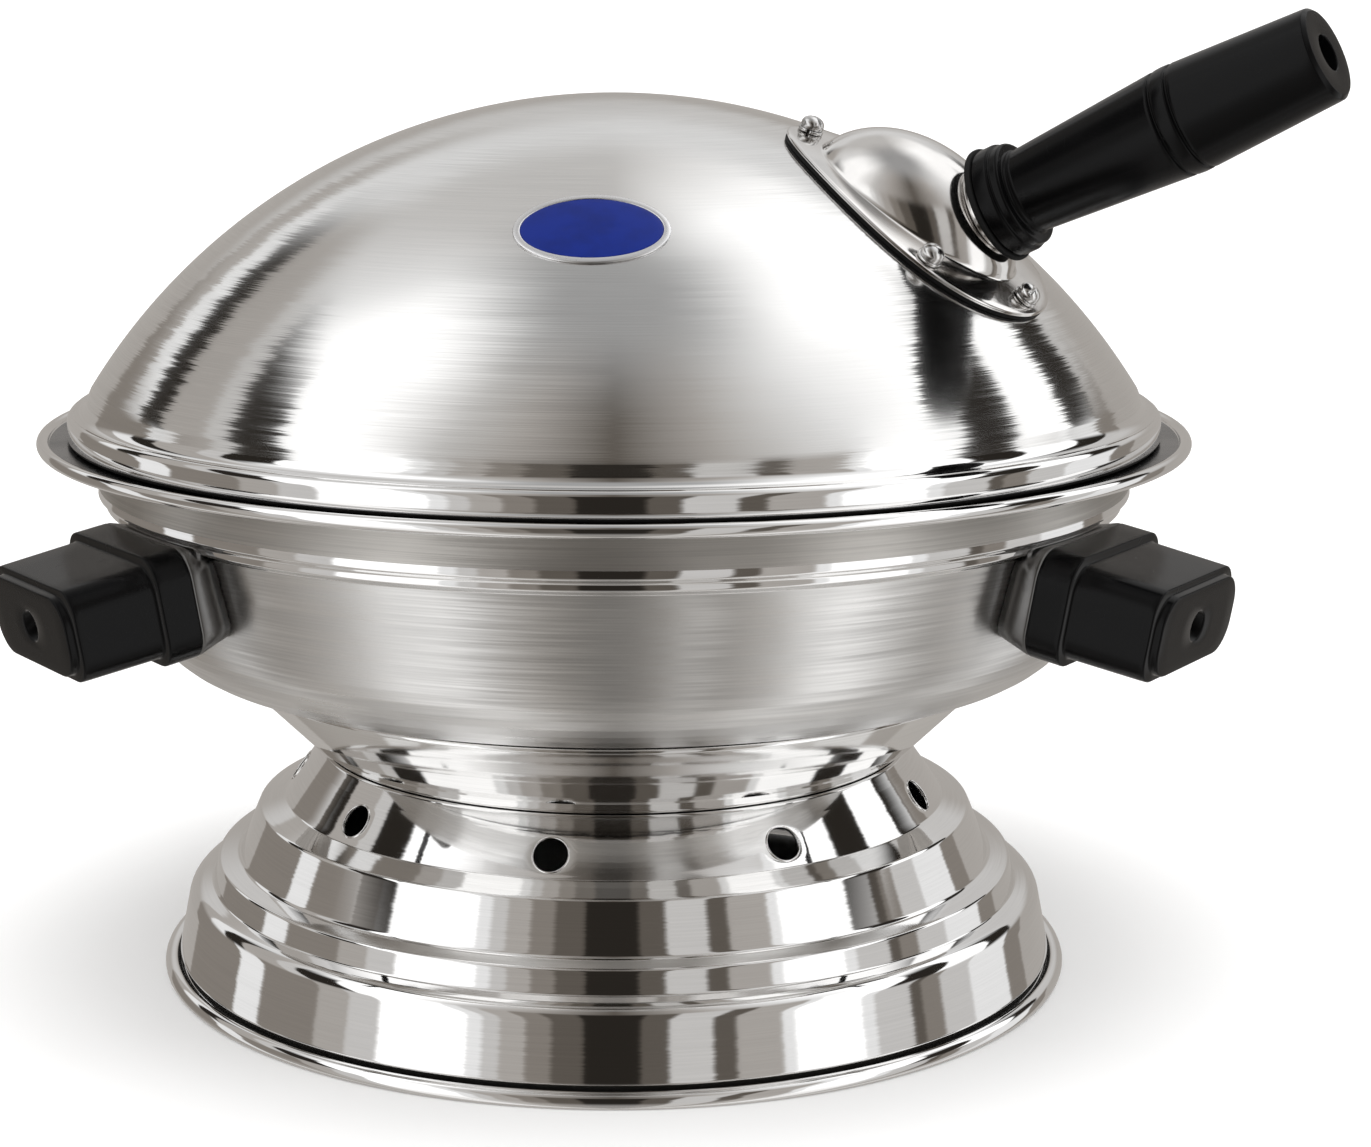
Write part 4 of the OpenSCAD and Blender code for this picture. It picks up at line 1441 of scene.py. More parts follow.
@dataclass
class LidDome:
    """The domed lid with its bead."""

    seat: float = 157.8
    bead_r: float = 156.3
    bead_h: float = 8.0
    bead_top_w: float = 4.4
    bead_turn: float = 4.6
    foot_h: float = 5.5
    tuck_h: float = 1.0
    stretch: float = 2.0
    brushed_rows: int = 4
    rings: int = 88
    columns: int = 288

    def build(self) -> list[Piece]:
        """Builds the lid's shell.

        Returns:
            The piece.
        """
        bead_top = self.seat + self.bead_h
        foot_z = bead_top + self.foot_h
        polar = acos((foot_z - LEVELS.dome_z) / LEVELS.dome_r)
        low = eased(rounded([
            Corner(self.bead_r - self.bead_turn, self.seat),
            Corner(self.bead_r, self.seat, 1.5),
            Corner(self.bead_r, bead_top, 2.4),
            Corner(self.bead_r - self.bead_top_w, bead_top, 4.2),
            Corner(LEVELS.dome_r * sin(polar), foot_z),
        ]), self.stretch)
        start = 90.0 - degrees(polar)
        dome = bead_arc(Vector((0.0, LEVELS.dome_z)), LEVELS.dome_r, start, 90.0, self.rings)[1:]
        dome[-1].x = 0.0
        edge = len(low) - self.brushed_rows
        tuck = next(i for i, p in enumerate(low) if p.y > self.seat + self.tuck_h)
        # The bead's foot below the tuck takes the near-black steel: painted shade in the crevice under the
        # bead.
        dressed = [POLISHED, BRUSHED, PAINTED_SHADE_STEEL]
        lid = lofted("lid_shell", spin(dished([*low, *dome]), self.columns), dressed, looped=True,
                     part_of=lambda i: 2 if i < tuck else int(i >= edge))
        return [settle(lid, Body.LID, Slot.BRUSHED, "lid_dome")]


@dataclass
class Badge:
    """The blank oval plate on the front of the lid."""

    azimuth: float = -3.3
    polar: float = 33.8
    width: float = 40.5
    height: float = 27.5
    top: float = 0.6
    border: float = 1.9
    field_top: float = 0.44
    field_foot: float = 0.12
    field_edge: float = 0.4
    field_rings: int = 8
    count: int = 96

    def build(self) -> list[Piece]:
        """Builds the plate's raised border and its enamelled field.

        Returns:
            The pieces.
        """
        place = LEVELS.on_dome(self.azimuth, self.polar)
        section = ((0.0, 0.1), (0.0, 0.38), (0.12, 0.54), (0.4, self.top), (self.border - 0.3, self.top),
                   (self.border - 0.08, 0.52), (self.border, 0.4), (self.border, 0.1))
        rim = [self._oval(inset, lift) for inset, lift in section]
        field = [self._oval(self.border, self.field_foot), self._oval(self.border + 0.02, 0.4)]
        edge = self.border + self.field_edge
        across = self.height / 2 - edge - 0.1
        for k in range(self.field_rings):
            field.append(self._oval(edge + across * k / self.field_rings, self.field_top))
        poles = [pole(LEVELS.dome_r + lift) for lift in (self.field_foot, self.field_top)]
        field = [poles[0], *field, poles[1]]
        return [
            settle(lofted("badge_border", rim, [BORDER], place, looped=True),
                   Body.LID, Slot.BADGE, "badge_plate"),
            settle(lofted("badge_field", field, [ENAMEL], place), Body.LID, Slot.BADGE),
        ]

    def _oval(self, inset: float, lift: float) -> Ring:
        """Returns an oval drawn in from the plate's edge, at a height over the dome."""
        a, b = self.height / 2 - inset, self.width / 2 - inset
        return [LEVELS.lifted(Vector((a * c.x, b * c.y)), lift) for c in circle(self.count)]


@dataclass
class HandleBracket:
    """The pressed bracket that carries the lid's handle, and the gasket under it."""

    azimuth: float = 58.4
    polar: float = 33.0
    length: float = 43.6
    width: float = 30.8
    skew: float = 0.24
    edge: float = 0.35
    gasket: float = 1.2
    gasket_gap: float = 0.1
    bulge_len: float = 33.0
    bulge_r: float = 24.5
    sink: float = 7.2
    blend: float = 1.2
    seat_height: float = 12.1
    seat_polar: float = 38.1
    elevation: float = 25.1
    end_screw_in: float = 5.5
    side_screw_u: float = 19.0
    side_screw_in: float = 5.0
    fillet: float = 0.07
    rings: int = 30
    count: int = 128

    @property
    def plate_top(self) -> float:
        """Height of the plate's top over the dome."""
        return self.gasket + LEVELS.sheet

    @property
    def seat_reach(self) -> float:
        """Distance of the handle's seat from the middle of the dome's sphere."""
        return LEVELS.dome_r + self.seat_height

    def handle_axis(self) -> Matrix:
        """Finds the handle's axis.

        Returns:
            The frame at the handle's seat whose +Z runs along the handle.
        """
        polar = radians(self.seat_polar)
        seat = raised(self.seat_reach * cos(polar), self.seat_reach * sin(polar))
        tilt = Matrix.Rotation(radians(90.0 - self.elevation), 4, "Y")
        return raised(LEVELS.dome_z) @ outward(self.azimuth) @ seat @ tilt

    def screw_places(self) -> list[Matrix]:
        """Finds the bracket's four screws.

        Returns:
            Their frames on the dome's outer face, +Z outward.
        """
        end = self.length - self.end_screw_in
        share = self.side_screw_u / self.length
        half = self.width * sqrt(1 - share * share) * (1 + self.skew * share) - self.side_screw_in
        places = []
        for u, v in ((-end, 0.0), (end, 0.0), (self.side_screw_u, -half), (self.side_screw_u, half)):
            down, across = (degrees(asin(way / LEVELS.dome_r)) for way in (u, v))
            places.append(LEVELS.on_dome(self.azimuth, self.polar + down, across) @ raised(LEVELS.dome_r))
        return places

    def build(self) -> list[Piece]:
        """Builds the bracket and its gasket.

        Returns:
            The pieces.
        """
        place = LEVELS.on_dome(self.azimuth, self.polar)
        faces = [*self._face(0.0), *reversed(self._face(LEVELS.sheet))]
        bracket = lofted("handle_bracket_pressing", faces, [BRACKET], place)
        outside = self._plate_edge(self.edge)
        inside = [Vector((self.bulge_len * c.x, self.bulge_r * c.y)) for c in circle(self.count)]
        low, high = self.gasket_gap, self.gasket - self.gasket_gap
        section = ((outside, low), (outside, high), (inside, high), (inside, low))
        pad = [[LEVELS.lifted(p, lift) for p in line] for line, lift in section]
        gasket = lofted("bracket_gasket_pad", pad, [GASKET], place, looped=True)
        return [
            settle(bracket, Body.LID, Slot.POLISHED, "handle_bracket"),
            settle(gasket, Body.LID, Slot.GASKET, "bracket_gasket"),
        ]

    def _plate_edge(self, inset: float) -> list[Vector]:
        """Returns the plate's edge as flat points, drawn in by an inset."""
        long, wide = self.length - inset, self.width - inset
        return [Vector((long * c.x, wide * c.y * (1 + self.skew * c.x))) for c in circle(self.count)]

    def _bulge(self, way: Vector, latitude: float, inset: float) -> Vector:
        """Finds a point of the bulge, which is cut flat at the handle's seat.

        Args:
            way: The point's direction round the bulge.
            latitude: Its angle over the bulge's own middle plane.
            inset: How far inside the outer face.

        Returns:
            The point, in the bracket's frame.
        """
        long, wide = self.bulge_len - inset, self.bulge_r - inset
        u, v = long * cos(latitude) * way.x, wide * cos(latitude) * way.y
        w = LEVELS.dome_r - self.sink + wide * sin(latitude)
        lean = radians(90.0 - self.elevation - self.polar)
        apart = radians(self.seat_polar - self.polar)
        level = self.seat_reach * cos(apart - lean) - inset
        seat_w = (level - u * sin(lean)) / cos(lean)
        over = w - (seat_w - self.blend)
        if over > 2 * self.blend:
            w = seat_w
        elif over > 0:
            w -= over * over / (4 * self.blend)
        return Vector((u, v, w))

    def _foot_latitude(self, way: Vector, lift: float, inset: float) -> float:
        """Finds where the bulge meets the plate.

        Args:
            way: The direction round the bulge.
            lift: The plate's height over the dome.
            inset: How far inside the outer face.

        Returns:
            The latitude on the bulge.
        """
        latitude = 0.25
        long, wide = self.bulge_len - inset, self.bulge_r - inset
        for _ in range(12):
            flat = Vector((long * way.x, wide * way.y)) * cos(latitude)
            latitude = asin((LEVELS.lifted(flat, lift).z - LEVELS.dome_r + self.sink) / wide)
        return latitude

    def _face(self, inset: float) -> list[Ring]:
        """Draws one face of the pressing.

        Args:
            inset: How far inside the outer face it lies, 0 for the outer face itself.

        Returns:
            Its rings, from the edge to the top.
        """
        lift = self.plate_top - inset
        ways = circle(self.count)
        feet = [self._foot_latitude(way, lift, inset) for way in ways]

        def over_bulge(share: float) -> Ring:
            """Returns the ring at a share of the way from the bulge's foot to its top."""
            climb = [foot + (pi / 2 - foot) * share for foot in feet]
            return [self._bulge(way, latitude, inset) for way, latitude in zip(ways, climb)]

        edge = ((0.15, -0.05), (0.0, -0.3)) if inset else ((0.0, self.edge), (0.1, 0.1), (self.edge, 0.0))
        rings = [[LEVELS.lifted(p, lift - drop) for p in self._plate_edge(draw)] for draw, drop in edge]
        span = list(zip(self._plate_edge(self.edge), over_bulge(0.0)))
        for share in (0.15, 0.45, 0.75, 0.93, 0.975):
            rings.append([LEVELS.lifted(a.lerp(b.xy, share), lift) for a, b in span])
        rings += [over_bulge(share) for share in (0.012, 0.035, self.fillet)]
        for k in range(1, self.rings):
            rings.append(over_bulge(self.fillet + (1.0 - self.fillet) * k / self.rings))
        return [*rings, [self._bulge(ways[0], pi / 2, inset)]]


@dataclass
class LidHandle:
    """The turned black handle with its ferrule and washer."""

    ferrule_d: float = 25.0
    ferrule_h: float = 2.6
    washer_t: float = 1.6
    flange_d: float = 30.0
    flange_h: float = 5.0
    collar_d: float = 28.4
    collar_h: float = 2.6
    neck_d: float = 22.6
    neck_run: float = 1.2
    swell_d: float = 29.0
    tip_d: float = 24.6
    tip_run: float = 2.2
    length: float = 96.0
    groove_at: float = 52.8
    groove_room: float = 0.9
    tip_edge: float = 1.0
    groove_pitch: float = 5.0
    hole_d: float = 9.6
    hole_h: float = 13.0
    bolt_d: float = 6.0
    bolt_gap: float = 0.2
    body_steps: int = 64
    columns: int = 128

    GROOVE = ((0.75, 0.0), (0.55, 0.08), (0.42, 0.35), (0.3, 0.7))

    @property
    def neck_at(self) -> float:
        """Place along the grip of the neck's foot."""
        return self.flange_h + self.collar_h

    def build(self, bracket: HandleBracket) -> list[Piece]:
        """Builds the handle on its bracket.

        Args:
            bracket: The bracket that gives the handle's axis.

        Returns:
            The pieces.
        """
        axis = bracket.handle_axis()
        over_ferrule = axis @ raised(self.ferrule_h)
        over_washer = over_ferrule @ raised(self.washer_t)
        cup = spin(self._flat_ring(self.ferrule_d, self.ferrule_h, 0.8), self.columns)
        ring = spin(self._flat_ring(self.flange_d + self.washer_t, self.washer_t, 0.6), self.columns)
        grip = spin(self._grip_path(), self.columns)
        ferrule = lofted("lid_grip_ferrule_cup", cup, [BRACKET], axis, looped=True)
        washer = lofted("lid_grip_washer_ring", ring, [GASKET], over_ferrule, looped=True)
        moulding = lofted("lid_grip_moulding", grip, [MOULDED], over_washer)
        return [
            settle(ferrule, Body.LID, Slot.POLISHED, "lid_grip_ferrule"),
            settle(washer, Body.LID, Slot.GASKET, "lid_grip_washer"),
            settle(moulding, Body.LID, Slot.MOULDED, "lid_grip"),
        ]

    def _flat_ring(self, d: float, high: float, soft: float) -> list[Vector]:
        """Returns the profile of a ring round the bolt, with soft outer edges."""
        bore = self.bolt_d / 2 + self.bolt_gap
        edge = [Corner(d / 2, z, soft) for z in (0.0, high)]
        return rounded([Corner(bore, 0.0), *edge, Corner(bore, high)])

    def _grip_path(self) -> list[Vector]:
        """Draws the grip's profile.

        Returns:
            Its points, from the middle of its foot to the bottom of the hole in its end.
        """
        body_foot, body_end = self.neck_at + self.neck_run, self.length - self.tip_run
        foot = rounded([
            Corner(self.bolt_d / 2, 0.0),
            Corner(self.flange_d / 2, 0.0, 0.7),
            Corner(self.flange_d / 2, self.flange_h, 0.9),
            Corner(self.collar_d / 2, self.flange_h, 0.5),
            Corner(self.collar_d / 2, self.neck_at, 0.9),
            Corner(self.neck_d / 2 + 0.2, self.neck_at, 0.6),
            Corner(self.neck_d / 2 + 0.2, body_foot),
        ])
        grooves = (self.groove_at, self.groove_at + self.groove_pitch)
        body = []
        for k in range(self.body_steps + 1):
            z = body_foot + (body_end - body_foot) * k / self.body_steps
            if all(abs(z - groove) > self.groove_room for groove in grooves):
                body.append(Vector((self._radius(z), z)))
        for groove in grooves:
            for away, depth in self.GROOVE:
                body += [Vector((self._radius(z) - depth, z)) for z in (groove - away, groove + away)]
        body.sort(key=lambda p: p.y)
        end = self.length
        tip = rounded([
            Corner(body[-1].x, body[-1].y),
            Corner(self.tip_d / 2, end - self.tip_edge, 0.5),
            Corner(self.tip_d / 2 - self.tip_edge, end, 0.4),
            Corner(self.hole_d / 2, end, 0.4),
            Corner(self.hole_d / 2, end - self.hole_h),
            Corner(0.0, end - self.hole_h),
        ])
        return [Vector((0.0, 0.0)), *foot, *body, *tip[1:]]

    def _radius(self, z: float) -> float:
        """Finds the grip's radius: a straight swell up to the grooves, then a taper to the tip.

        Args:
            z: The place along the grip.

        Returns:
            The radius there.
        """
        swell_at = self.groove_at + self.groove_pitch / 2
        if z <= swell_at:
            t = (z - self.neck_at) / (swell_at - self.neck_at)
            return (self.neck_d + (self.swell_d - self.neck_d) * t) / 2
        t = (z - swell_at) / (self.length - swell_at)
        return (self.swell_d + (self.tip_d - self.swell_d) * t) / 2


@dataclass
class FlameDeflector:
    """The crowned disc over the flame, on three riveted legs."""

    r: float = 78.0
    brim_w: float = 16.0
    crown_h: float = 5.0
    lift: float = 10.0
    legs: int = 3
    leg_w: float = 12.0
    leg_t: float = 1.5
    leg_tab: float = 13.0
    leg_soft: float = 0.2
    columns: int = 192

    @property
    def floor(self) -> float:
        """Height of the bowl's floor."""
        return LEVELS.floor + LEVELS.sheet

    @property
    def brim(self) -> float:
        """Height of the brim's underside."""
        return self.floor + self.lift

    @property
    def bend(self) -> float:
        """Distance of the legs' upright inner face from the axis."""
        return self.r - self.leg_t

    def leg_turns(self) -> list[Matrix]:
        """Returns the turn of each leg from local +X."""
        return [outward(360.0 * k / self.legs) for k in range(self.legs)]

    def rivet_places(self) -> list[Matrix]:
        """Finds the rivets, two to a leg.

        Returns:
            Their frames at the lower face of their stack, +Z up.
        """
        high = raised(self.brim - self.leg_t, self.bend - self.leg_tab / 2)
        low = raised(LEVELS.floor, self.r + self.leg_tab / 2)
        return [turn @ place for turn in self.leg_turns() for place in (high, low)]

    def build(self, copies: CopyTree) -> list[Piece]:
        """Builds the disc and its legs.

        Args:
            copies: The tree that repeats a leg.

        Returns:
            The pieces.
        """
        top = self.brim + LEVELS.sheet
        inside = self.r - self.brim_w
        outer = eased(rounded([
            Corner(self.r, top),
            Corner(inside, top, 1.8),
            Corner(inside - 2 * self.crown_h, top + self.crown_h, 2.6),
            Corner(0.0, top + self.crown_h + LEVELS.sheet),
        ]))
        turns = self.leg_turns()
        legs = copies.stand("deflector_leg_straps", self._leg(), turns, WALL)
        plate = lofted("flame_deflector_disc", spin(dished(outer), self.columns), [WALL], looped=True)
        # The tree stands its copies upright but leaves their azimuth, so each leg is turned here
        vertices = legs.data.vertices
        for k, vertex in enumerate(vertices):
            vertex.co = turns[k * self.legs // len(vertices)] @ vertex.co
        return [
            settle(plate, Body.BOWL, Slot.BRUSHED, "flame_deflector"),
            settle(legs, Body.BOWL, Slot.BRUSHED, "deflector_legs"),
        ]

    def _leg(self) -> Piece:
        """Makes one bent strap with softened bends and edges.

        Returns:
            The shape, on local +X.
        """
        under = rounded([
            Corner(self.bend - self.leg_tab, self.brim - self.leg_t),
            Corner(self.bend, self.brim - self.leg_t, 0.8),
            Corner(self.bend, self.floor, 0.1),
            Corner(self.r + self.leg_tab, self.floor),
        ])
        over = rounded([
            Corner(self.bend - self.leg_tab, self.brim),
            Corner(self.r, self.brim, 2.3),
            Corner(self.r, self.floor + self.leg_t, 0.4),
            Corner(self.r + self.leg_tab, self.floor + self.leg_t),
        ])
        half = self.leg_w / 2
        flat = half - self.leg_soft
        section = ((-flat, 0.0), (flat, 0.0), (half, 0.15), (half, 0.85),
                   (flat, 1.0), (-flat, 1.0), (-half, 0.85), (-half, 0.15))
        rings = []
        for a, b in zip(under, over):
            points = [(a.lerp(b, share), y) for y, share in section]
            rings.append([Vector((p.x, y, p.y)) for p, y in points])
        return lofted("leg_shape", capped(rings))


@dataclass
class Fasteners:
    """Screws, washers, nuts and rivets, repeated by Geometry Nodes."""

    bracket_screw_d: float = 4.0
    side_screw_d: float = 5.0
    bolt_d: float = 6.0
    rivet_d: float = 3.0
    across_flats: float = 1.6
    nut_high: float = 0.8
    washer_gap: float = 0.1
    nut_gap: float = 0.2
    bore_gap: float = 0.1
    head_gap: float = 0.6
    washer_edge: float = 0.12
    screw_turn: float = 3.0
    washer_turn: float = 6.0
    nut_turn: float = 1.0
    columns: int = 48

    def build(self, copies: CopyTree, bracket: HandleBracket, handle: LidHandle,
              sides: SideHandles, deflector: FlameDeflector) -> list[Piece]:
        """Builds every fastener.

        Args:
            copies: The tree that repeats a shape.
            bracket: The lid handle's bracket.
            handle: The lid handle.
            sides: The side handles.
            deflector: The flame deflector.

        Returns:
            The pieces.
        """
        d, side_d, bolt_d, sheet = self.bracket_screw_d, self.side_screw_d, self.bolt_d, LEVELS.sheet
        washer_z = bracket.plate_top + self.washer_gap
        head_z = washer_z + d / 4
        side_z = sides.face + sides.block_t + sides.grip_len - sides.hole_h
        bolt_z = handle.ferrule_h + handle.washer_t + handle.length - handle.hole_h
        reach = head_z + sheet + self.nut_gap + self.nut_high * d
        side_reach = side_z - sides.face + sheet + self.nut_high * side_d
        bolt_reach = bolt_z + sheet + self.nut_gap + self.nut_high * bolt_d
        side_screw = self._slotted(side_d, sides.hole_d - self.head_gap, 0.6 * side_d, side_reach)
        bolt = self._slotted(bolt_d, handle.hole_d - self.head_gap, 0.6 * bolt_d, bolt_reach)
        on_plate, on_axis = bracket.screw_places(), [bracket.handle_axis()]
        on_sides = [sides.place(side) for side in (-1, 1)]

        def fit(name: str, shape: Piece, frames: Sequence[Matrix], z: float, turn: float, node: str,
                body: Body = Body.LID, slot: Slot = Slot.PRESSED, finish: Finish = PRESSED) -> Piece:
            """Stands one kind of fastener at a height along its frames."""
            places = [frame_at @ raised(z) for frame_at in frames]
            return settle(copies.stand(name, shape, places, finish, turn), body, slot, node)

        return [
            fit("bracket_pan_screws", self._slotted(d, 1.6 * d, 0.85 * d, reach), on_plate, head_z,
                self.screw_turn, "bracket_screws", slot=Slot.POLISHED, finish=BRIGHT),
            fit("bracket_spring_washers", self._spring_washer(d), on_plate, washer_z,
                self.washer_turn, "bracket_washers", finish=BRIGHT),
            fit("bracket_hex_nuts", self._nut(d), on_plate, -sheet - self.nut_gap,
                self.nut_turn, "bracket_nuts"),
            fit("side_grip_pan_screws", side_screw, on_sides, side_z,
                self.screw_turn, "side_grip_screws", Body.BOWL),
            fit("side_grip_hex_nuts", self._nut(side_d), on_sides, sides.face - sheet,
                self.nut_turn, "side_grip_nuts", Body.BOWL),
            fit("lid_grip_long_bolt", bolt, on_axis, bolt_z,
                self.screw_turn, "lid_grip_bolt"),
            fit("lid_grip_hex_nut", self._nut(bolt_d), on_axis, -sheet, self.nut_turn, "lid_grip_nut"),
            fit("deflector_dome_rivets", self._rivet(self.rivet_d, deflector.leg_t + sheet),
                deflector.rivet_places(), 0.0, self.nut_turn, "deflector_rivets", Body.BOWL),
        ]

    def _slotted(self, d: float, head_d: float, head_h: float, length: float) -> Piece:
        """Makes a slotted pan-head screw whose head stands on z = 0.

        Args:
            d: The shank's diameter.
            head_d: The head's.
            head_h: The head's height.
            length: The shank's length.

        Returns:
            The shape.
        """
        shank_r, head_r = d / 2, head_d / 2
        path = [(0.0, -length), (shank_r - 0.3, -length), (shank_r, -length + 0.4), (shank_r, -0.02),
                (head_r - 0.15, 0.0), (head_r, 0.15)]
        shoulder = 0.35 * head_h
        head = domed(head_r, shoulder, head_h - shoulder, 12)
        screw = lofted("screw_shape", spin([*map(Vector, path), *head], self.columns))
        slot_w, slot_h = 0.2 * d, 0.84 * head_h
        cutter = linked("slot_shape", bpy.data.meshes.new("slot_shape"))
        work = bmesh.new()
        bmesh.ops.create_cube(work, size=1.0)
        bmesh.ops.scale(work, vec=Vector((2 * head_d, slot_w, slot_h)) * MM, verts=work.verts)
        bmesh.ops.translate(work, vec=Vector((0, 0, head_h * MM)), verts=work.verts)
        work.to_mesh(cutter.data)
        work.free()
        cut = screw.modifiers.new("slot", "BOOLEAN")
        cut.operation, cut.solver, cut.object = "DIFFERENCE", "EXACT", cutter
        mesh = finished_mesh(screw)
        screw.modifiers.remove(cut)
        screw.data = mesh
        bpy.data.objects.remove(cutter)
        return screw

    def _nut(self, d: float) -> Piece:
        """Makes a hex nut with chamfered corners.

        Args:
            d: Its screw's diameter.

        Returns:
            The shape, with its upper face at z = 0.
        """
        flat = self.across_flats * d / 2
        high, chamfer = self.nut_high * d, 0.12 * d
        face_r, corner_r = 0.97 * flat, 1.16 * flat
        rings = []
        for z, most in ((0.0, face_r), (-chamfer, corner_r), (-high + chamfer, corner_r), (-high, face_r)):
            ring = []
            for k, way in enumerate(circle(self.columns)):
                away = (tau * k / self.columns + pi / 6) % (pi / 3) - pi / 6
                ring.append(way * min(flat / cos(away), most) + Vector((0, 0, z)))
            rings.append(ring)
        for z in (-high, 0.0):
            rings += spin([Vector((d / 2 + self.bore_gap, z))], self.columns, 90.0)
        nut = lofted("nut_shape", rings, looped=True)
        for face in nut.data.polygons:
            face.use_smooth = False
        return nut

    def _spring_washer(self, d: float) -> Piece:
        """Makes a split spring washer, its ends a little apart in height.

        Args:
            d: Its screw's diameter.

        Returns:
            The shape, on z = 0.
        """
        outer, inner, high, edge = 1.75 * d / 2, d / 2 + self.bore_gap, d / 4, self.washer_edge
        section = ((inner, 0.0), (outer - edge, 0.0), (outer, edge),
                   (outer, high - edge), (outer - edge, high), (inner, high))
        rings = []
        steps = 44
        for k in range(steps + 1):
            a = radians(8.0 + 344.0 * k / steps)
            lift = 0.12 * k / steps
            rings.append([Vector((r * cos(a), r * sin(a), z * 0.88 + lift)) for r, z in section])
        return lofted("spring_washer_shape", capped(rings))

    def _rivet(self, d: float, stack: float) -> Piece:
        """Returns a domed rivet through a stack of sheets that starts at z = 0."""
        lower, upper = domed(d, 0.0, -d / 3, 8), domed(d, stack, d / 3, 8)
        path = [*reversed(lower), Vector((d / 2, 0.0)), Vector((d / 2, stack)), *upper]
        return lofted("rivet_shape", spin(path, 32))


@dataclass
class WireGrill:
    """The loose wire grill inside the bowl."""

    r: float = 122.0
    rim_wire: float = 4.0
    bar: float = 2.6
    bars: int = 15
    reach: float = 105.0
    cross: float = 52.0
    stand: float = 21.0
    gap: float = 0.3
    feet: int = 3
    foot_lean: float = 16.0
    touch: float = 0.1
    columns: int = 192

    @property
    def floor(self) -> float:
        """Height of the bowl's floor under the feet, with their gap."""
        return LEVELS.floor + LEVELS.sheet + self.gap

    @property
    def wire_r(self) -> float:
        """Radius of the rim's, the cross wires' and the feet's wire."""
        return self.rim_wire / 2

    @property
    def foot_drop(self) -> float:
        """Height of the rim's middle over the middle of a foot's round end."""
        return self.stand - self.wire_r

    def build(self, wires: WireTree, copies: CopyTree) -> list[Piece]:
        """Builds the rim, bars, cross wires and feet.

        Args:
            wires: The tree that lays wires across the rim.
            copies: The tree that repeats a foot.

        Returns:
            The pieces.
        """
        z = self.floor + self.stand
        empty = bpy.data.meshes.new("no_points")
        bar_z = z + (self.rim_wire + self.bar) / 2 + self.touch
        bars = wires.grow("grill_bar_wires", empty, Count=self.bars, Reach=self.reach * MM, Rim=self.r * MM,
                          Height=bar_z * MM, Wire=self.bar / 2 * MM, Finish=WIRE.material())
        half = sqrt((self.r - self.wire_r) ** 2 - (self.cross + self.wire_r) ** 2) - self.touch
        short = hypot(self.cross, half)
        cross = wires.grow("grill_cross_pair", empty, Count=2, Reach=self.cross * MM, Rim=short * MM,
                           Height=z * MM, Wire=self.wire_r * MM, Finish=WIRE.material())
        for vertex in cross.data.vertices:
            vertex.co = Vector((-vertex.co.y, vertex.co.x, vertex.co.z))
        feet = copies.stand("grill_wire_feet", self._foot(), self._foot_places(), WIRE)
        section = bead_arc(Vector((self.r, z)), self.wire_r, 0.0, 360.0)[:-1]
        rim = lofted("grill_rim_wire", spin(section, self.columns), [WIRE], looped=True)
        nodes = (
            (rim, "grill_rim"), (bars, "grill_bars"), (cross, "grill_cross_wires"), (feet, "grill_feet"),
        )
        return [settle(piece, Body.GRILL, Slot.WIRE, node) for piece, node in nodes]

    def _foot_places(self) -> list[Matrix]:
        """Finds the feet.

        Returns:
            Their frames at their lower ends, +Z along the wire.
        """
        tilt = Matrix.Rotation(atan2(self.foot_lean, self.foot_drop), 4, "Y")
        low = raised(self.floor + self.wire_r, self.r - self.foot_lean)
        return [outward((180.0 + 360.0 * k) / self.feet) @ low @ tilt for k in range(self.feet)]

    def _foot(self) -> Piece:
        """Makes one foot's wire with a round end.

        Returns:
            The shape, on local +Z, which stops short of the rim wire.
        """
        top = hypot(self.foot_lean, self.foot_drop) - self.wire_r - self.touch
        end = domed(self.wire_r, 0.0, -self.wire_r, 8)
        path = [*reversed(end), Vector((self.wire_r, top)), Vector((0.0, top))]
        return lofted("foot_shape", spin(path, 24))


# Studio


class Tone(Enum):
    """The levels of the studio's panels."""

    BLACK = 0.02
    DARK = 0.10
    DIM = 0.21
    GREY = 0.37
    PALE = 0.52
    LIGHT = 0.76
    WHITE = 1.15

    def tint(self) -> Colour:
        """Returns the level as a colour, warmer the darker it is."""
        warm = max(0.0, 1.0 - self.value / 0.6)
        return self.value, self.value * (1 - 0.15 * warm), self.value * (1 - 0.30 * warm)


BLACK, DARK, DIM, GREY, PALE, LIGHT, WHITE = Tone
Panels = tuple[tuple[float, Tone], ...]


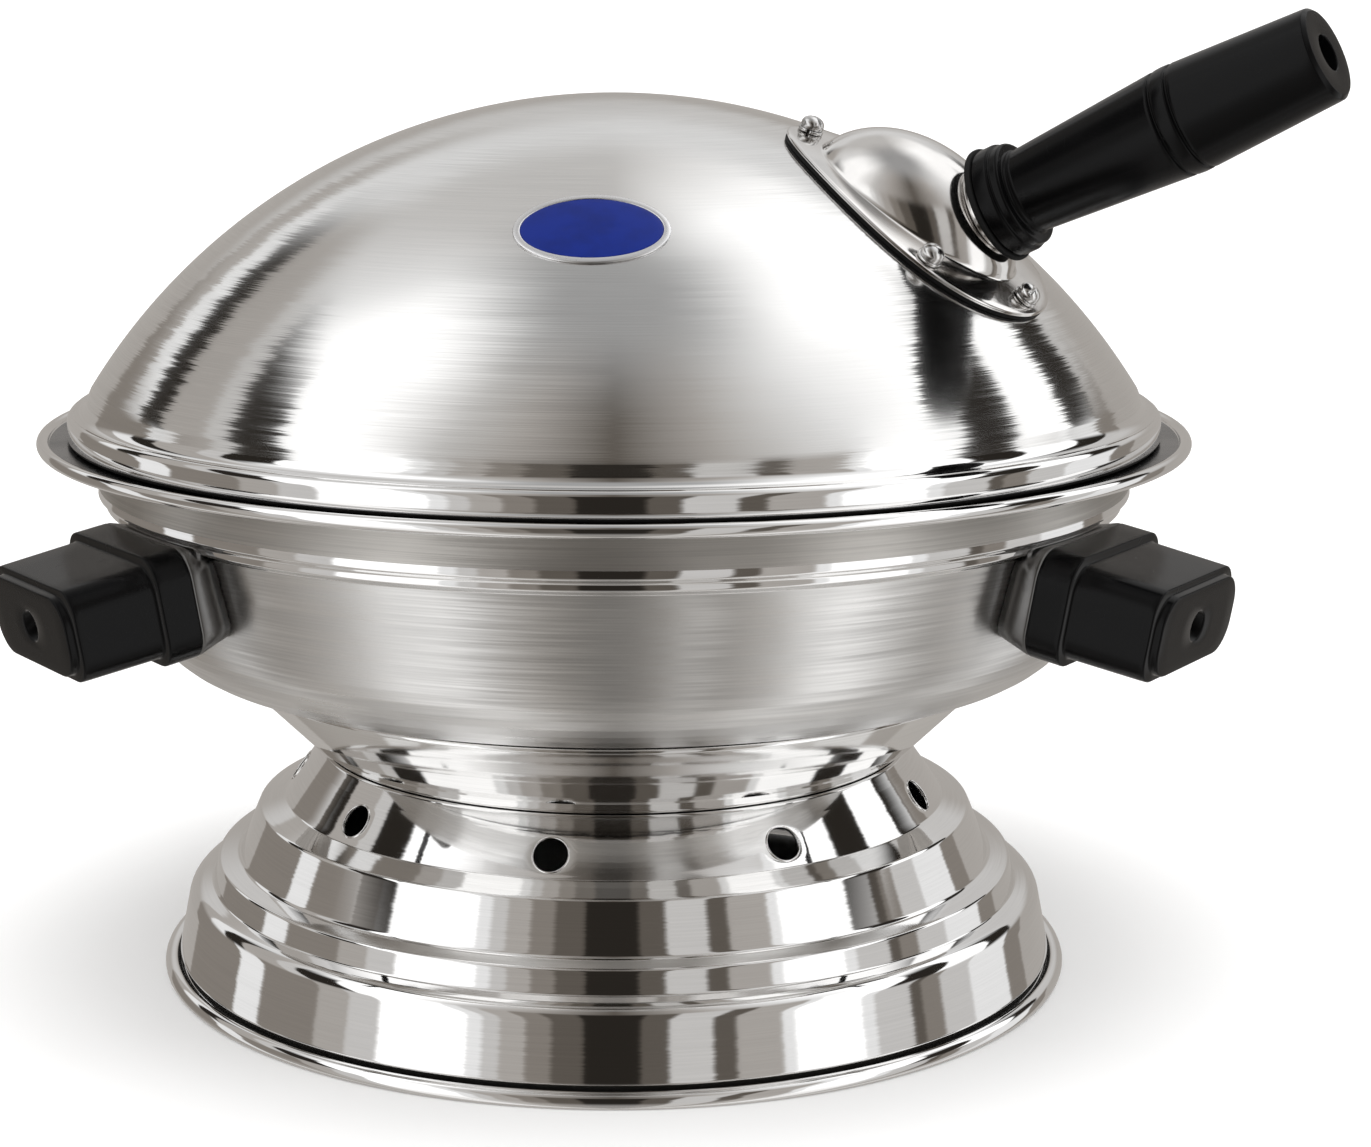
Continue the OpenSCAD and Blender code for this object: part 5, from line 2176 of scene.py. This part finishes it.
@dataclass
class Studio:
    """The camera, the surround that lights the object, the soft sun and the floor."""

    camera_y: float = -856.3
    camera_z: float = 288.2
    camera_down: float = 11.49
    focal_px: float = 2977.7
    image_w: float = 1371.0
    axis_px: float = 614.0
    sensor: float = 36.0
    overhead: float = 0.33
    ground: Colour = (0.50, 0.48, 0.455)
    back: float = 0.66
    splay: float = 0.39
    panel_blend: float = 1.0
    gain: float = 1.15
    sun: float = 2.2
    sun_tilt: float = 28.0
    sun_spread: float = 70.0
    floor_level: float = 0.82
    floor_glow: float = 0.3
    stand_from: float = 122.0
    stand_to: float = 136.0
    glow_from: float = 125.0
    glow_to: float = 230.0
    least_glow: float = 0.2
    floor_half: float = 60.0

    # Panels from the front towards the back, and the ceiling's tones all round, in degrees
    LEFT_FRONT = ((7.5, BLACK), (15.5, DARK), (22, DIM), (28.5, GREY), (33, PALE), (37, LIGHT))
    RIGHT_FRONT = ((6.5, BLACK), (13.5, DARK), (24.5, PALE), (30.5, DARK), (42.5, GREY), (46, LIGHT))
    LEFT_LOW = ((61, WHITE), (70.5, PALE), (80.5, GREY), (101.5, DIM), (112.5, LIGHT),
                (143, DIM), (180, GREY))
    RIGHT_LOW = ((65, WHITE), (69, LIGHT), (80.5, PALE), (84.5, DARK), (91.5, DIM), (103.5, PALE),
                 (121.5, LIGHT), (132.5, DIM), (180, GREY))
    LEFT_MID = ((65, WHITE), (80, BLACK), (88, PALE), (106.5, GREY), (118, BLACK), (129.5, LIGHT),
                (142, GREY), (180, PALE))
    RIGHT_MID = ((70, WHITE), (86.5, BLACK), (107.5, WHITE), (123, BLACK), (180, PALE))
    CEILING = ((-180, PALE), (-145, PALE), (-118, LIGHT), (-105, WHITE), (-75, WHITE), (-50, PALE),
               (-30, GREY), (0, DARK), (30, GREY), (65, LIGHT), (100, WHITE), (150, WHITE), (180, PALE))

    # Heights over the horizon, in degrees, between which one part of the surround turns into the next
    GROUND_TO_PANELS = (-50.0, -10.0)
    LOW_TO_MID = (12.0, 20.0)
    BACK_RISE = (24.0, 36.0)
    PANELS_TO_CEILING = (40.0, 50.0)
    CEILING_TO_TOP = (62.0, 84.0)
    SPLAY_RISE = (0.0, 60.0)

    # Angles from the front, to either side, between which the panels turn into the pale back
    BACK_SIDES = (142.0, 152.0)

    def build(self) -> None:
        """Builds the camera, the surround, the sun and the floor."""
        self._camera()
        self._surround()
        self._sun()
        self._floor()
        bpy.context.scene.view_settings.view_transform = "Standard"

    def _camera(self) -> None:
        """Builds the camera at the photograph's viewing angle."""
        data = bpy.data.cameras.new("camera")
        data.sensor_width = self.sensor
        data.lens = self.sensor * self.focal_px / self.image_w
        data.shift_x = 0.5 - self.axis_px / self.image_w
        data.clip_start, data.clip_end = 0.05, 200.0
        camera = linked("camera", data)
        camera.location = (0.0, self.camera_y * MM, self.camera_z * MM)
        camera.rotation_euler = (radians(90.0 - self.camera_down), 0.0, 0.0)
        bpy.context.scene.camera = camera

    def _surround(self) -> None:
        """Builds the world: white to the camera, and a studio of light and dark panels to the object."""
        world = bpy.data.worlds.new("studio")
        bpy.context.scene.world = world
        space = NodeSpace.of(world)
        x, y, z = space.split(space.out("ShaderNodeTexCoord", output="Generated"))
        height = z.arcsine()
        azimuth = x.turn_from(0.0 - y)

        def run(angle: Value, limits: tuple[float, float], start: float = 0.0) -> Value:
            """Returns a smooth run up to 1 between two angles in degrees."""
            return angle.ramp(*map(radians, limits), start)

        splayed = azimuth * (1.0 - run(height, self.SPLAY_RISE) * self.splay)
        low = self._band(space, splayed, self.LEFT_LOW, self.RIGHT_LOW)
        mid = self._band(space, splayed, self.LEFT_MID, self.RIGHT_MID)
        around_low = space.mix(run(height, self.LOW_TO_MID), low, mid)
        sky = [(angle / 360.0 + 0.5, tone.tint()) for angle, tone in self.CEILING]
        high = space.out("ShaderNodeValToRGB", {"stops": sky}, {0: azimuth / tau + 0.5})
        behind = run(abs(azimuth), self.BACK_SIDES) * run(height, self.BACK_RISE)
        lower = space.mix(behind, around_low, (self.back, self.back, self.back, 1.0))
        top = (self.overhead, self.overhead, self.overhead, 1.0)
        upper = space.mix(run(height, self.CEILING_TO_TOP), high, top)
        sides = space.mix(run(height, self.PANELS_TO_CEILING), lower, upper)
        around = space.mix(run(height, self.GROUND_TO_PANELS, 0.5), (*self.ground, 1.0), sides)
        lit = space.out("ShaderNodeBackground", values={"Color": around, "Strength": self.gain})
        white = space.out("ShaderNodeBackground", values={"Color": (1.0, 1.0, 1.0, 1.0), "Strength": 1.0})
        seen = space.out("ShaderNodeLightPath", output="Is Camera Ray")
        both = space.out("ShaderNodeMixShader", values={0: seen, 1: lit, 2: white})
        space.add("ShaderNodeOutputWorld", values={"Surface": both})

    def _band(self, space: NodeSpace, angle: Value, left: Panels, right: Panels) -> Value:
        """Makes one band of the surround.

        Args:
            space: The world's nodes.
            angle: The azimuth, in radians.
            left: Its panels on the left, behind the front ones.
            right: Its panels on the right, behind the front ones.

        Returns:
            The colour.
        """
        share = abs(angle) / pi
        rows = [self._stops(row) for row in ((*self.LEFT_FRONT, *left), (*self.RIGHT_FRONT, *right))]
        sides = [space.out("ShaderNodeValToRGB", {"stops": row}, {0: share}) for row in rows]
        return space.mix(angle.ramp(-TINY, TINY), *sides)

    def _stops(self, panels: Panels) -> list[Stop]:
        """Lays a row of upright panels over half a turn, with short blends between them.

        Args:
            panels: The angle at which each panel ends, in degrees from the front, and its tone.

        Returns:
            The stops of a colour ramp.
        """
        stops = []
        start = 0.0
        for end, tone in panels:
            for angle in (start + self.panel_blend / 2, end - self.panel_blend / 2):
                stops.append((angle / 180.0, tone.tint()))
            start = end
        return stops

    def _sun(self) -> None:
        """Builds the wide soft sun overhead, which the steel doesn't mirror."""
        data = bpy.data.lights.new("soft_sun", "SUN")
        data.energy = self.sun
        data.angle = radians(self.sun_spread)
        sun = linked("soft_sun", data)
        sun.rotation_euler = (radians(self.sun_tilt), 0.0, 0.0)
        sun.visible_glossy = False

    def _floor(self) -> None:
        """Builds the plain pale floor, which keeps the object's shadow and is dark inside the stand; its
        camera-only glow fades down near the stand, which paints the shadow round the stand darker.
        """
        half = self.floor_half
        mesh = bpy.data.meshes.new("floor")
        corners = [(-half, -half, 0.0), (half, -half, 0.0), (half, half, 0.0), (-half, half, 0.0)]
        mesh.from_pydata(corners, [], [(0, 1, 2, 3)])
        made = bpy.data.materials.new("pale_floor")
        space = NodeSpace.of(made)
        level = self.floor_level
        matt = space.out("ShaderNodeBsdfDiffuse", values={"Color": (level, level, level, 1.0)})
        x, y, _ = space.split(Finish.place(space))
        radius = (x * x + y * y) ** 0.5
        outside = radius.ramp(self.stand_from * MM, self.stand_to * MM)
        # The glow fades from the far floor down to least_glow near the stand: a painted shadow round the
        # stand.
        away = outside * radius.ramp(self.glow_from * MM, self.glow_to * MM, self.least_glow)
        path = space.add("ShaderNodeLightPath")
        seen, mirrored = (Value(space, path.outputs[ray]) for ray in ("Is Camera Ray", "Is Glossy Ray"))
        glow = space.out("ShaderNodeEmission", values={"Strength": self.floor_glow})
        both = space.out("ShaderNodeAddShader", values={0: matt, 1: glow})
        lit = space.out("ShaderNodeMixShader", values={0: seen * away, 1: matt, 2: both})
        clear = space.out("ShaderNodeBsdfTransparent")
        open_floor = space.out("ShaderNodeMixShader", values={0: mirrored * outside, 1: lit, 2: clear})
        space.add("ShaderNodeOutputMaterial", values={"Surface": open_floor})
        mesh.materials.append(made)
        linked("floor", mesh)


def main() -> None:
    """Builds the whole object in order, then the studio."""
    logging.basicConfig(level=logging.INFO, format="%(name)s: %(message)s")
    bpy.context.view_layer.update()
    copies, wires = CopyTree(), WireTree()
    sides, bracket, handle, deflector = SideHandles(), HandleBracket(), LidHandle(), FlameDeflector()
    pieces = [
        *BaseStand().build(copies),
        *Bowl().build(),
        *sides.build(),
        *deflector.build(copies),
        *WireGrill().build(wires, copies),
        *LidDome().build(),
        *Badge().build(),
        *bracket.build(),
        *handle.build(bracket),
        *Fasteners().build(copies, bracket, handle, sides, deflector),
    ]
    log.info("%d pieces", len(pieces))
    Studio().build()


if __name__ == "__main__":
    main()
